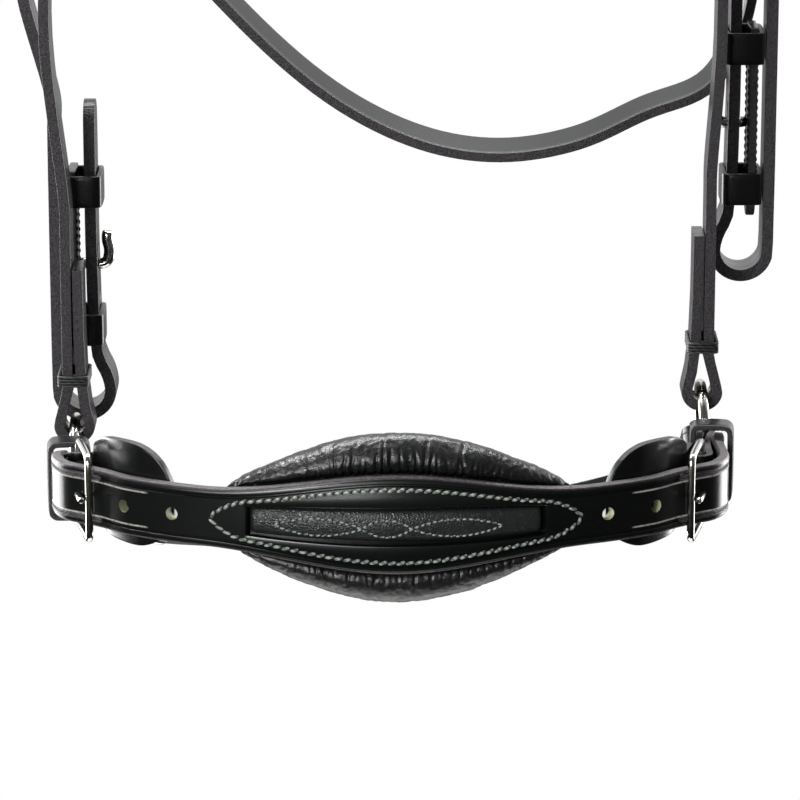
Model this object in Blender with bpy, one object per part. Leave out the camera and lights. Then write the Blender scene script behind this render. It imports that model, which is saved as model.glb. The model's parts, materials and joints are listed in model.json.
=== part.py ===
"""A drop noseband bridle: crown with billets, sliphead, cheekpieces, browband, throatlash and noseband.

Metres, +Z up. The origin is the middle of the crown pad's underside, where the bridle rests on the poll.
-Y is the front of the head, and -X is the left of the bridle as it is seen from the front.
"""
import math
from collections import namedtuple

import bmesh
import bpy
from mathutils import Matrix, Vector

MM = 0.001
GAP = 0.3 * MM
OVERRUN = 2 * MM

# Strap widths and leathers
NOSE_WIDTH = 20 * MM
NOSE_LEATHER = 4 * MM
CHEEK_WIDTH = 16 * MM
CHEEK_LEATHER = 4 * MM
SLIP_WIDTH = 16 * MM
SLIP_LEATHER = 3.6 * MM
THROAT_WIDTH = 12 * MM
THROAT_LEATHER = 3.6 * MM
CHIN_WIDTH = 16 * MM
CHIN_LEATHER = 3.4 * MM
CHAPE_LEATHER = 2.2 * MM
KEEPER_LEATHER = 2 * MM
KEEPER_LENGTH = 11 * MM
KEEPER_SLACK = 0.5 * MM
ADJUSTER_KEEPER_LENGTH = 9 * MM
ADJUSTER_KEEPER_SLACK = 1.4 * MM
PATCH_LEATHER = 3 * MM
SAFE_LEATHER = 3 * MM
LINING_LEATHER = 1.2 * MM
HOLE_BORE = 4.3 * MM
HOLE_PITCH = 16 * MM
BUCKLE_HOLES = 2
EYE_WIDTH = 12 * MM
EYE_SHOULDER = 8 * MM
TIP_LENGTH = 10 * MM
TIP_SHARE = 0.35

# Buckles: round wire frames with a round tongue
ADJUSTER_WIRE = 2.8 * MM
ADJUSTER_REACH = 23 * MM
ADJUSTER_SIDE_PLAY = 3 * MM
SMALL_WIRE = 2.6 * MM
SMALL_REACH = 19 * MM
SMALL_SIDE_PLAY = 0.7 * MM
TONGUE_WIRE = 2.4 * MM
TONGUE_PLAY = 0.6 * MM
TONGUE_OVERHANG = 1.4 * MM
TONGUE_SWING = math.radians(6)
BILLET_LIFT = 1.2 * MM
KEEPER_DROP = 14 * MM
RUNNER_DROP = 31 * MM
BAR_NECK = 7 * MM

# Crown, its pad, and the strips in which the straps hang, from front to back
POLL_HALF_WIDTH = 97 * MM
POLL_HEIGHT = 90 * MM
PAD_WIDTH = 64 * MM
PAD_LEATHER = 6 * MM
PAD_END_DROP = 78 * MM
CROWN_LEATHER = 3.8 * MM
SLIP_Y = -18 * MM
CHEEK_Y = 5 * MM
THROAT_Y = 23 * MM
BILLET_TAIL = 44 * MM

# Browband
BROW_WIDTH = 24 * MM
BROW_LEATHER = 3.6 * MM
BROW_DROP = 100 * MM
BROW_LOW_DROP = BROW_DROP + BROW_WIDTH / 2
CROWN_SPLIT_CLEARANCE = 6 * MM
CROWN_SPLIT_DROP = BROW_LOW_DROP + CROWN_SPLIT_CLEARANCE
BROW_REACH = 86 * MM
BROW_LOOP_PLAY = 1 * MM
BROW_TAIL = 16 * MM

# Sliphead
SLIP_BUCKLE_CLEARANCE = 29 * MM
SLIP_HEEL_DROP = BROW_LOW_DROP + SMALL_REACH + SLIP_BUCKLE_CLEARANCE
SLIP_BILLET_DROP = SLIP_HEEL_DROP + BILLET_TAIL
SLIP_HEEL_CLEARANCE = 11 * MM
SLIP_HEEL_OUT = POLL_HALF_WIDTH + SLIP_HEEL_CLEARANCE
SLIP_FOLD = 55 * MM
SLIP_NECK = 12 * MM
SLIP_PLUMB = 66 * MM
SLIP_SHOULDER_DROP = 280 * MM
BINDING_LENGTH = 4 * MM
BINDING_THREAD = 1.2 * MM

# Rings
RING_OUT = 108 * MM
RING_RADIUS = 16 * MM
RING_WIRE = 4 * MM
RING_PLAY = 1.6 * MM
RING_LEAN = 0.6 * MM

# Noseband: half of an ellipse in plan, then the billets run back through the adjuster buckles
NOSE_DROP = 430 * MM
NOSE_FRONT = 116 * MM
NOSE_HALF_SPAN = 115 * MM
NOSE_DEPTH = 66 * MM
NOSE_CENTRE_OUT = 2 * MM
NOSE_SWELL = 13.5 * MM
NOSE_SWELL_REACH = 64 * MM
NOSE_ELLIPSE_OUT = 86 * MM
NOSE_END_SHARE = NOSE_ELLIPSE_OUT / NOSE_HALF_SPAN
NOSE_END_DEPTH = NOSE_DEPTH * (1 - math.sqrt(1 - NOSE_END_SHARE * NOSE_END_SHARE))
ADJUSTER_LEAD_OUT = 13.8 * MM
ADJUSTER_LEAD_BACK = 6.8 * MM
ADJUSTER_OUT = NOSE_ELLIPSE_OUT + ADJUSTER_LEAD_OUT
ADJUSTER_FRONT_Y = NOSE_END_DEPTH + ADJUSTER_LEAD_BACK - NOSE_FRONT
ADJUSTER_TURN = math.radians(12)
HOLE_LEAD = 0.8 * MM
WINDOW_HALF_SPAN = 48.5 * MM
WINDOW_END_HALF = 4.4 * MM
WINDOW_MID_HALF = 6.4 * MM
INLAY_INSET = 2 * MM
INLAY_END_HALF = 3.7 * MM
INLAY_MID_HALF = 4.7 * MM
INLAY_THICKNESS = 3.4 * MM
INLAY_CROWN = 1 * MM
LINING_HALF_SPAN = 66 * MM
LINING_INSET = 1.2 * MM
SAFE_HEIGHT = 35 * MM
SAFE_LIFT = 3 * MM
SAFE_TAIL_WIDTH = 19 * MM
SAFE_LEAD = 14 * MM
SAFE_FRONT_OUT = NOSE_ELLIPSE_OUT - SAFE_LEAD
SAFE_NOSE = 17 * MM
SAFE_FALL = 30 * MM
SAFE_BLUNT_SHARE = 0.2
NOSE_PAD_HALF_SPAN = 60 * MM
NOSE_PAD_THICKNESS = 13 * MM
NOSE_PAD_END_THICKNESS = 5 * MM
NOSE_PAD_ROLL = 11.5 * MM
NOSE_PAD_SHIFT = 1 * MM
NOSE_PAD_BULGE = 4 * MM
NOSE_PAD_END_INSET = 5 * MM

# Cheekpieces with hook stud ends
CHEEK_RUN = 198 * MM
BIT_LOOP_RADIUS = 9.3 * MM
TAIL_OFFSET = 12.4 * MM
TAIL_LENGTH = 113 * MM
HOOK_KEEPER_LOW = 33 * MM
HOOK_KEEPER_HIGH = 82 * MM
HOOK_STUD_HEIGHT = 55 * MM
PATCH_LOW = 22 * MM
PATCH_HIGH = 89 * MM
STUD_WIRE = 2.6 * MM
STUD_SLOT_LENGTH = 9 * MM
STUD_SLOT_WIDTH = 4.4 * MM
STUD_RISE = 11 * MM
STUD_BELLY = 1.4 * MM
CHEEK_FOLD = 34 * MM

# Chin strap: half of an ellipse behind the rings, in a plane that hangs down at the back
CHIN_DEPTH = 62 * MM
CHIN_HANG = math.radians(38)
CHIN_HEEL = 30 * MM
CHIN_REACH = 19 * MM
CHIN_FOLD = 34 * MM
CHIN_KEEPER_LENGTH = 8 * MM

# Throatlash
THROAT_REACH = 16 * MM
THROAT_BUCKLE_CLEARANCE = 13 * MM
THROAT_BILLET_TAIL = 31 * MM
THROAT_HEEL_DROP = BROW_LOW_DROP + THROAT_REACH + THROAT_BUCKLE_CLEARANCE
THROAT_BILLET_DROP = THROAT_HEEL_DROP + THROAT_BILLET_TAIL
THROAT_HEEL_CLEARANCE = 9 * MM
THROAT_HEEL_OUT = POLL_HALF_WIDTH + THROAT_HEEL_CLEARANCE
THROAT_LOW_DROP = 335 * MM
THROAT_LOW_OUT = 38 * MM
THROAT_FOLD = 26 * MM
THROAT_TWIST = math.radians(16)
THROAT_TWIST_RUN = 60 * MM
THROAT_KEEPER_LENGTH = 8 * MM

# The two sides hang differently, as they do in the photo
LEFT_RING_DROP = 437 * MM
LEFT_SLIP_OUT = 117 * MM
LEFT_CHEEK_OUT = 116 * MM
LEFT_CHEEK_TOP_OUT = 127 * MM
LEFT_LOOP_DROP = 426 * MM
RIGHT_RING_DROP = 425 * MM
RIGHT_SLIP_OUT = 112 * MM
RIGHT_CHEEK_OUT = 130.5 * MM
RIGHT_LOOP_DROP = 376 * MM
CHEEK_BILLET_DROP = LEFT_LOOP_DROP - CHEEK_RUN + BILLET_TAIL

Side = namedtuple("Side", "name sign ring_drop slip_out cheek_out cheek_top_out loop_drop heel_drop")
LEFT = Side("left", -1, LEFT_RING_DROP, LEFT_SLIP_OUT, LEFT_CHEEK_OUT, LEFT_CHEEK_TOP_OUT, LEFT_LOOP_DROP,
            LEFT_LOOP_DROP - CHEEK_RUN)
RIGHT = Side("right", 1, RIGHT_RING_DROP, RIGHT_SLIP_OUT, RIGHT_CHEEK_OUT, RIGHT_CHEEK_OUT, RIGHT_LOOP_DROP,
             RIGHT_LOOP_DROP - CHEEK_RUN)
SIDES = (LEFT, RIGHT)

X = Vector((1, 0, 0))
Y = Vector((0, 1, 0))
Z = Vector((0, 0, 1))

Buckle = namedtuple("Buckle", "heel toward out bar reach wire half")


def clear_scene():
    for old in list(bpy.data.objects):
        bpy.data.objects.remove(old)


def material(name, colour, roughness, metallic=0.0):
    made = bpy.data.materials.new(name)
    made.use_nodes = True
    shader = made.node_tree.nodes["Principled BSDF"]
    shader.inputs["Base Color"].default_value = (*colour, 1)
    shader.inputs["Roughness"].default_value = roughness
    shader.inputs["Metallic"].default_value = metallic
    return made


def bridle_leather():
    return material("bridle_leather", (0.016, 0.017, 0.016), 0.38)


def soft_leather():
    return material("soft_leather", (0.013, 0.013, 0.013), 0.46)


def steel():
    return material("polished_steel", (0.62, 0.62, 0.62), 0.16, 1.0)


def thread():
    return material("waxed_thread", (0.02, 0.02, 0.02), 0.7)


def smooth_route(points, pieces):
    """Points on one smooth curve through the given points, with so many pieces in each span."""
    ends = [points[0] * 2 - points[1]] + list(points) + [points[-1] * 2 - points[-2]]
    route = []
    for corners in zip(ends, ends[1:], ends[2:], ends[3:]):
        knots = [0.0]
        for before, after in zip(corners, corners[1:]):
            knots.append(knots[-1] + math.sqrt((after - before).length))
        for step in range(pieces):
            place = knots[1] + (knots[2] - knots[1]) * step / pieces
            level = list(corners)
            for depth, first, last in ((1, 0, 3), (2, 0, 2), (1, 1, 2)):
                level = blended(level, knots, place, depth, first, last)
            route.append(level[0])
    return route + [points[-1]]


def blended(level, knots, place, depth, first, last):
    """One step of the curve's blend: each pair of neighbours weighed by how near the place is."""
    result = []
    for index in range(first, last):
        low = knots[index]
        high = knots[index + depth]
        share = (place - low) / (high - low)
        result.append(level[index - first] * (1 - share) + level[index - first + 1] * share)
    return result


def distances(route):
    """The distance along the route at each of its points."""
    run = [0.0]
    for a, b in zip(route, route[1:]):
        run.append(run[-1] + (b - a).length)
    return run


def at_distance(route, distance):
    """The point and the direction of a route so far along it."""
    run = distances(route)
    for low, high, a, b in zip(run, run[1:], route, route[1:]):
        if distance <= high or high == run[-1]:
            return a + (b - a) * ((distance - low) / (high - low)), (b - a).normalized()


def section_frames(route, side, closed=False):
    """For each point its centre, side direction and thickness direction, mitred at the bends.

    side is one direction for the whole route, or a list with one for each point."""
    frames = []
    count = len(route)
    for index, centre in enumerate(route):
        if closed:
            incoming = (centre - route[index - 1]).normalized()
            outgoing = (route[(index + 1) % count] - centre).normalized()
        else:
            incoming = (centre - route[max(index - 1, 0)]) if index else route[1] - route[0]
            outgoing = (route[index + 1] - centre) if index < count - 1 else centre - route[-2]
            incoming = incoming.normalized()
            outgoing = outgoing.normalized()
        tangent = (incoming + outgoing).normalized()
        mitre = 1 / max(tangent.dot(outgoing), 0.5)
        across = side[index] if isinstance(side, list) else side
        frames.append((centre, across, tangent.cross(across).normalized() * mitre))
    return frames


def twisted_sides(route, side, angle_at):
    """The side direction at each point of a route, turned about the route by the angle for that point."""
    sides = []
    for centre, across, through in section_frames(route, side):
        angle = angle_at(centre)
        sides.append(across * math.cos(angle) + through.normalized() * math.sin(angle))
    return sides


def extrude_along(mesh, faces, sections, outline):
    """Extrudes faces from one section to the next. outline(index) gives each corner's place there."""
    for step, (frame, corners) in enumerate(sections):
        made = bmesh.ops.extrude_face_region(mesh, geom=faces)["geom"]
        if step:
            bmesh.ops.delete(mesh, geom=faces, context="FACES_ONLY")
        faces = [item for item in made if isinstance(item, bmesh.types.BMFace)]
        outline(faces, frame, corners)
    return faces


def place_corners(faces, frame, corners):
    centre, across, through = frame
    for vert, (a, t) in zip(faces[0].verts, corners):
        vert.co = centre + across * a + through * t


def finish_object(name, mesh, finish, smooth_angle=40):
    bmesh.ops.recalc_face_normals(mesh, faces=mesh.faces)
    data = bpy.data.meshes.new(name)
    mesh.to_mesh(data)
    mesh.free()
    data.shade_smooth()
    data.set_sharp_from_angle(angle=math.radians(smooth_angle))
    made = bpy.data.objects.new(name, data)
    bpy.context.scene.collection.objects.link(made)
    made.data.materials.append(finish)
    return made


def swept_body(name, route, side, section_at, finish, closed=False):
    """One body whose section, a list of (across, through) places, follows the route."""
    frames = section_frames(route, side, closed)
    sections = [section_at(index) for index in range(len(route))]
    mesh = bmesh.new()
    centre, across, through = frames[0]
    first = mesh.faces.new([mesh.verts.new(centre + across * a + through * t) for a, t in sections[0]])
    steps = list(zip(frames[1:], sections[1:]))
    last = extrude_along(mesh, [first], steps, place_corners)[0]
    if closed:
        rim = list(first.edges) + list(last.edges)
        bmesh.ops.delete(mesh, geom=[first, last], context="FACES_ONLY")
        bmesh.ops.bridge_loops(mesh, edges=rim)
    return finish_object(name, mesh, finish)


def flat_section(width, thickness):
    half = width / 2
    deep = thickness / 2
    return [(-half, -deep), (half, -deep), (half, deep), (-half, deep)]


def round_section(radius, corners=10):
    angles = [2 * math.pi * corner / corners for corner in range(corners)]
    return [(radius * math.cos(angle), radius * math.sin(angle)) for angle in angles]


def strap(name, route, side, width_at, thickness, finish):
    """A flat strap along a route. width_at gives the width from a point and its distances to both ends."""
    run = distances(route)
    total = run[-1]

    def section_at(index):
        return flat_section(width_at(route[index], run[index], total - run[index]), thickness)

    return swept_body(name, route, side, section_at, finish)


def pointed(width, left):
    """The width of a strap near its pointed end, from the length that is left to the tip."""
    if left >= TIP_LENGTH:
        return width
    share = 1 - left / TIP_LENGTH
    return width * (TIP_SHARE + (1 - TIP_SHARE) * math.sqrt(1 - share * share))


def waisted(width, point, eye):
    """The width of a strap that is cut narrower where it goes round a ring."""
    share = ((point - eye).length - EYE_SHOULDER) / EYE_SHOULDER
    share = min(max(share, 0), 1)
    narrow = min(EYE_WIDTH, width)
    return narrow + (width - narrow) * share * share * (3 - 2 * share)


def eye_route(centre, away, across, radius, neck, half_gap, turns=12):
    """Round a wire: from the neck on the -across side, round the wire's far side, to the other neck."""
    route = [centre + away * neck - across * half_gap]
    for step in range(turns + 1):
        angle = math.pi * step / turns
        route.append(centre - across * (radius * math.cos(angle)) - away * (radius * math.sin(angle)))
    return route + [centre + away * neck + across * half_gap]


def cut(target, cutter):
    """Cuts one closed body out of another."""
    cutter.hide_render = True
    cutter.display_type = "WIRE"
    tool = target.modifiers.new(cutter.name, "BOOLEAN")
    tool.operation = "DIFFERENCE"
    tool.solver = "EXACT"
    tool.object = cutter


def box_cutter(name, centre, axes, sizes):
    """A box along three directions that stand square to each other."""
    mesh = bmesh.new()
    bmesh.ops.create_cube(mesh, size=1)
    turn = Matrix([axis.normalized() for axis in axes]).transposed().to_4x4()
    scale = Matrix.Diagonal((*sizes, 1))
    bmesh.ops.transform(mesh, matrix=Matrix.Translation(centre) @ turn @ scale, verts=mesh.verts)
    return finish_object(name, mesh, thread())


def hole_cutter(name, places, bore, length):
    """Round cutters that stand on the given points along the given directions, as one object."""
    mesh = bmesh.new()
    for point, direction in places:
        turn = direction.to_track_quat("Z", "Y").to_matrix().to_4x4()
        bmesh.ops.create_cone(
            mesh, cap_ends=True, segments=12, radius1=bore / 2, radius2=bore / 2, depth=length,
            matrix=Matrix.Translation(point) @ turn)
    return finish_object(name, mesh, thread())


def wire_body(name, route, diameter, finish, closed=False, resolution=2):
    """A round wire or rod along a route, as a bevelled curve."""
    curve = bpy.data.curves.new(name, "CURVE")
    curve.dimensions = "3D"
    curve.bevel_depth = diameter / 2
    curve.bevel_resolution = resolution
    curve.use_fill_caps = not closed
    spline = curve.splines.new("POLY")
    spline.points.add(len(route) - 1)
    for place, point in zip(spline.points, route):
        place.co = (*point, 1)
    spline.use_cyclic_u = closed
    made = bpy.data.objects.new(name, curve)
    bpy.context.scene.collection.objects.link(made)
    curve.materials.append(finish)
    return made


def rounded_rectangle(centre, u, v, half_u, half_v, radius, turns=3):
    """Points round a rectangle with round corners, in the plane of the directions u and v."""
    route = []
    corners = ((1, 1), (-1, 1), (-1, -1), (1, -1))
    for quarter, (su, sv) in enumerate(corners):
        corner = centre + u * (su * (half_u - radius)) + v * (sv * (half_v - radius))
        for step in range(turns + 1):
            angle = math.pi / 2 * (quarter + step / turns)
            route.append(corner + u * (radius * math.cos(angle)) + v * (radius * math.sin(angle)))
    return route


def keeper(name, centre, along, out, width, depth, length, finish, radius=KEEPER_LEATHER * 0.75, turns=2):
    """A closed leather band round a stack of straps. width and depth are the stack's."""
    across = along.cross(out).normalized()
    half_u = width / 2 + KEEPER_SLACK + KEEPER_LEATHER / 2
    half_v = depth / 2 + GAP + KEEPER_LEATHER / 2
    route = rounded_rectangle(centre, across, out, half_u, half_v, radius, turns)
    section = flat_section(length, KEEPER_LEATHER)
    return swept_body(name, route, along, lambda index: section, finish, closed=True)


def keeper_below(name, unit, width, chape_leather, billet, drop, length, finish):
    """A keeper round a fold and the billet beside it, so far below a buckle's heel bar."""
    inner = chape_leather + GAP / 2
    outer = chape_leather + GAP * 1.5 + billet + BILLET_LIFT / 2
    centre = unit.heel - unit.toward * drop + unit.out * ((outer - inner) / 2)
    keeper(name, centre, unit.toward, unit.out, width, inner + outer, length, finish)


def buckle_unit(heel, toward, out, reach, wire, strap_width, side_play):
    bar = toward.cross(out).normalized()
    half = strap_width / 2 + side_play + wire / 2
    return Buckle(heel, toward.normalized(), out.normalized(), bar, reach, wire, half)


def buckle_frame(name, unit, finish):
    centre = unit.heel + unit.toward * (unit.reach / 2)
    route = rounded_rectangle(
        centre, unit.toward, unit.bar, unit.reach / 2, unit.half, unit.wire)
    return wire_body(name, route, unit.wire, finish, closed=True)


def tongue_route(unit, swing=0.0):
    """The tongue's middle line: a hook round the heel bar, and a shank that rests on the front bar."""
    rise = unit.wire / 2 + GAP + TONGUE_WIRE / 2
    hook = [-unit.out, (-unit.out - unit.toward).normalized(), -unit.toward,
            (unit.out - unit.toward).normalized(), unit.out]
    route = [unit.heel + direction * rise for direction in hook]
    route += [unit.heel + unit.out * rise + unit.toward * (unit.reach * share) for share in (0.35, 0.7, 1)]
    route.append(route[-1] + unit.toward * TONGUE_OVERHANG - unit.out * (TONGUE_OVERHANG / 8))
    if swing:
        turn = Matrix.Rotation(swing, 3, unit.bar)
        route = [unit.heel + turn @ (point - unit.heel) for point in route]
    return route


def swing_sign(unit):
    """The turn about the bar that lifts the tongue's tip off the front bar."""
    lifted = Matrix.Rotation(0.1, 3, unit.bar) @ unit.toward
    return 1 if lifted.dot(unit.out) > 0 else -1


def cut_tongue_way(target, name, unit):
    """Cuts a billet's hole along the tongue, with room for the tongue to lift."""
    for label, swing in (("rest", 0.0), ("lifted", swing_sign(unit) * TONGUE_SWING)):
        shank = tongue_route(unit, swing)[4:]
        section = round_section(HOLE_BORE / 2)
        way = swept_body(f"{name}_{label}_way", shank, unit.bar, lambda index: section, thread())
        cut(target, way)


def cut_tongue_slot(target, name, unit, leather):
    """Cuts the slot in a folded strap through which the tongue turns on the heel bar."""
    rise = unit.wire / 2 + GAP + TONGUE_WIRE / 2
    back = rise + TONGUE_WIRE / 2 + TONGUE_PLAY
    front = unit.wire / 2 + leather + OVERRUN
    centre = unit.heel + unit.toward * ((front - back) / 2)
    deep = 2 * (unit.wire / 2 + leather + OVERRUN)
    slot_width = TONGUE_WIRE + 2 * TONGUE_PLAY
    slot = box_cutter(
        f"{name}_slot", centre, (unit.toward, unit.bar, unit.out), (front + back, slot_width, deep))
    cut(target, slot)


def bar_eye(unit, away, leather, neck):
    """The fold of a strap round a heel bar; it starts on the inner side."""
    across = away.cross(unit.bar).normalized()
    if across.dot(unit.out) < 0:
        across = -across
    radius = unit.wire / 2 + GAP + leather / 2
    return eye_route(unit.heel, away, across, radius, neck, (leather + GAP) / 2)


def ring_centre(side):
    return Vector((side.sign * RING_OUT, SLIP_Y, -side.ring_drop))


def ring_axis():
    return (ring_centre(RIGHT) - ring_centre(LEFT)).normalized()


def ring_up():
    return ring_axis().cross(Y).normalized()


def ring_eye(side, outward, away, across, leather, neck):
    """The fold of a strap round a ring's wire. outward points from the ring's middle to the wire."""
    wire = ring_centre(side) + outward * (RING_RADIUS - RING_LEAN)
    radius = RING_WIRE / 2 + RING_PLAY + leather / 2
    return wire, eye_route(wire, away, across, radius, neck, (leather + GAP) / 2)


def rings(finish):
    for side in SIDES:
        route = []
        for step in range(28):
            angle = 2 * math.pi * step / 28
            route.append(ring_centre(side) + (Y * math.cos(angle) + ring_up() * math.sin(angle)) * RING_RADIUS)
        wire_body(f"ring_{side.name}", route, RING_WIRE, finish, closed=True)


def nose_point(out, offset=0.0):
    """A point of the noseband's middle line in plan, so far out to a side, moved out from the head."""
    share = out / NOSE_HALF_SPAN
    depth = NOSE_DEPTH * (1 - math.sqrt(1 - share * share))
    slope = NOSE_DEPTH * share / (NOSE_HALF_SPAN * math.sqrt(1 - share * share))
    normal = Vector((slope, -1, 0)).normalized()
    return Vector((out, -NOSE_FRONT + depth, -NOSE_DROP)) + normal * offset


def nose_half_height(out):
    share = min(abs(out - NOSE_CENTRE_OUT) / NOSE_SWELL_REACH, 1)
    return NOSE_WIDTH / 2 + NOSE_SWELL / 2 * math.cos(math.pi / 2 * share) ** 2


def adjuster(side):
    """The adjuster buckle: it follows the head, so its heel bar lies further out than its front bar."""
    turn = Matrix.Rotation(side.sign * ADJUSTER_TURN, 3, -Z)
    toward = turn @ -Y
    heel = Vector((side.sign * ADJUSTER_OUT, ADJUSTER_FRONT_Y, -NOSE_DROP)) - toward * ADJUSTER_REACH
    out = turn @ (X * side.sign)
    return buckle_unit(heel, toward, out, ADJUSTER_REACH, ADJUSTER_WIRE, NOSE_WIDTH, ADJUSTER_SIDE_PLAY)


def chape_line(side):
    """The start, direction and length of the straight chape from the heel bar to the ring's wire."""
    start = adjuster(side).heel
    end = ring_centre(side) - Y * (RING_RADIUS - RING_LEAN)
    return start, (end - start).normalized(), (end - start).length


def chape_out(side):
    along = chape_line(side)[1]
    return Vector((along.y, -along.x, 0)).normalized() * side.sign


def nose_under(unit):
    """How far the noseband lies inside the front bar, which it passes at a slant."""
    return (unit.wire / 2 + GAP + NOSE_LEATHER / 2) * 1.45


def billet_points(side):
    """The noseband billet from the front bar, up through the frame, and back along the chape."""
    unit = adjuster(side)
    front = unit.heel + unit.toward * unit.reach
    under = nose_under(unit)
    over = unit.wire / 2 + GAP + CHAPE_LEATHER + BILLET_LIFT + NOSE_LEATHER / 2
    start, along, length = chape_line(side)
    beside = chape_out(side) * (CHAPE_LEATHER + GAP * 1.5 + NOSE_LEATHER / 2)
    crossing = ((0, -under), (0.27, over * 0.02), (0.5, over * 0.72), (0.78, over), (1.05, over))
    points = [front - unit.toward * (unit.reach * u) + unit.out * v for u, v in crossing]
    points += [start + along * (length * share) + beside for share in (0.4, 0.55, 0.74)]
    return points


def nosepiece_route():
    """From the left billet's tip round the front to the right billet's tip."""
    count = 22
    arc = [nose_point(NOSE_ELLIPSE_OUT * math.sin(math.pi / 2 * step / count)) for step in range(-count, count + 1)]
    ends = {}
    for side in SIDES:
        lead = arc[-1] if side.sign > 0 else arc[0]
        before = arc[-2] if side.sign > 0 else arc[1]
        ends[side.name] = smooth_route([before, lead] + billet_points(side), 3)[4:]
    return list(reversed(ends["left"])) + arc + ends["right"]


def nosepiece(finish):
    route = nosepiece_route()

    def width_at(point, from_start, to_end):
        if point.y < ADJUSTER_FRONT_Y:
            return 2 * nose_half_height(point.x)
        return pointed(NOSE_WIDTH, min(from_start, to_end))

    made = strap("nosepiece_strap", route, Z, width_at, NOSE_LEATHER, finish)
    for side in SIDES:
        cut_tongue_way(made, f"nosepiece_{side.name}", adjuster(side))
    cut(made, hole_cutter("nosepiece_holes", nose_holes(), HOLE_BORE, NOSE_LEATHER * 2))
    cut(made, window_cutter())
    return made


def nose_holes():
    """The spare holes on each side, in front of the adjuster buckles."""
    places = []
    for side in SIDES:
        front = side.sign * NOSE_ELLIPSE_OUT
        for number in range(BUCKLE_HOLES):
            out = front + side.sign * (HOLE_LEAD - HOLE_PITCH * number)
            normal = nose_point(out, NOSE_LEATHER) - nose_point(out)
            places.append((nose_point(out), normal))
    return places


def window_cutter():
    """The opening in the front of the noseband that frames the inlay."""
    count = 14
    outs = [NOSE_CENTRE_OUT + WINDOW_HALF_SPAN * (2 * step / count - 1) for step in range(count + 1)]
    route = [nose_point(out) for out in outs]
    deep = NOSE_LEATHER * 2

    def section_at(index):
        share = abs(outs[index] - NOSE_CENTRE_OUT) / WINDOW_HALF_SPAN
        half = WINDOW_MID_HALF + (WINDOW_END_HALF - WINDOW_MID_HALF) * share * share
        return flat_section(2 * half, deep)

    return swept_body("nosepiece_window", route, Z, section_at, thread())


def nosepiece_inlay(finish):
    """The raised inlay, crowned at the front, on the lining in the window."""
    half_span = WINDOW_HALF_SPAN - INLAY_INSET
    count = 16
    outs = [NOSE_CENTRE_OUT + half_span * (2 * step / count - 1) for step in range(count + 1)]
    seat = -NOSE_LEATHER / 2
    route = [nose_point(out, seat) for out in outs]

    def section_at(index):
        share = abs(outs[index] - NOSE_CENTRE_OUT) / half_span
        half = INLAY_MID_HALF + (INLAY_END_HALF - INLAY_MID_HALF) * share * share
        edge = INLAY_THICKNESS - INLAY_CROWN
        return [(-half, 0), (-half, edge), (-half * 0.6, INLAY_THICKNESS),
                (half * 0.6, INLAY_THICKNESS), (half, edge), (half, 0)]

    swept_body("nosepiece_inlay", route, Z, outward_section(section_at, route), finish)


def outward_section(section_at, route):
    """Turns a section that is given outward from the head into the direction of the route's frames."""
    centre, across, through = section_frames(route, Z)[len(route) // 2]
    sign = 1 if through.y < 0 else -1
    side = 1 if across.z > 0 else -1

    def turned(index):
        return [(side * a, sign * t) for a, t in section_at(index)]

    return turned


def nosepiece_lining(finish):
    """The thin backing behind the window, inside the noseband's edges."""
    count = 22
    offset = -(NOSE_LEATHER / 2 + GAP + LINING_LEATHER / 2)
    outs = [NOSE_CENTRE_OUT + LINING_HALF_SPAN * (2 * step / count - 1) for step in range(count + 1)]
    route = [nose_point(out, offset) for out in outs]

    def width_at(point, from_start, to_end):
        left = min(from_start, to_end)
        half = nose_half_height(point.x) - LINING_INSET
        return 2 * half * min(1, 0.55 + 0.45 * left / NOSE_WIDTH)

    strap("nosepiece_lining", route, Z, width_at, LINING_LEATHER, finish)


def nose_pad(finish):
    """The stuffed roll behind the noseband: it stands out above and below the strap."""
    count = 34
    back = NOSE_LEATHER / 2 + GAP + LINING_LEATHER + GAP
    centre_out = NOSE_CENTRE_OUT + NOSE_PAD_SHIFT
    outs = [centre_out + NOSE_PAD_HALF_SPAN * math.sin(math.pi / 2 * (2 * step / count - 1))
            for step in range(count + 1)]
    route = [nose_point(out) for out in outs]

    def section_at(index):
        share = abs(outs[index] - centre_out) / NOSE_PAD_HALF_SPAN
        full = max(1 - share * share, 0) ** 0.6
        edge = nose_half_height(outs[index]) + GAP
        roll = NOSE_PAD_ROLL * full - NOSE_PAD_END_INSET * (1 - full)
        thick = NOSE_PAD_END_THICKNESS + (NOSE_PAD_THICKNESS - NOSE_PAD_END_THICKNESS) * full
        bulge = NOSE_PAD_BULGE * full
        inner = min(edge, edge + roll - NOSE_LEATHER / 2)
        half = [(0, back), (inner, back)]
        if roll > 0:
            half.append((edge + roll * 0.12, back - bulge * 0.55))
            half.append((edge + roll * 0.32, back - bulge))
        else:
            half.append((inner + NOSE_LEATHER / 8, back + GAP))
            half.append((inner + NOSE_LEATHER / 4, back + 2 * GAP))
        half.append((edge + roll * 0.72, back - bulge * 0.5))
        half.append((edge + roll, back + thick * 0.2))
        half.append((edge + roll * 0.92, back + thick * 0.5))
        half.append((edge * 0.85 + roll * 0.5, back + thick * 0.82))
        half.append((edge * 0.45, back + thick * 0.98))
        half.append((0, back + thick))
        mirrored = [(-a, t) for a, t in reversed(half[1:-1])]
        return [(a, -t) for a, t in half + mirrored]

    swept_body("nose_pad", route, Z, outward_section(section_at, route), finish)


def adjuster_pieces(leather, metal):
    for side in SIDES:
        name = side.name
        unit = adjuster(side)
        buckle_frame(f"adjuster_buckle_{name}", unit, metal)
        wire_body(f"adjuster_tongue_{name}", tongue_route(unit), TONGUE_WIRE, metal)
        start, along, length = chape_line(side)
        chape(f"adjuster_chape_{name}", side, unit, along, length, leather)
        adjuster_keeper(side, start, along, length, leather)
        adjuster_safe(side, leather)


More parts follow.
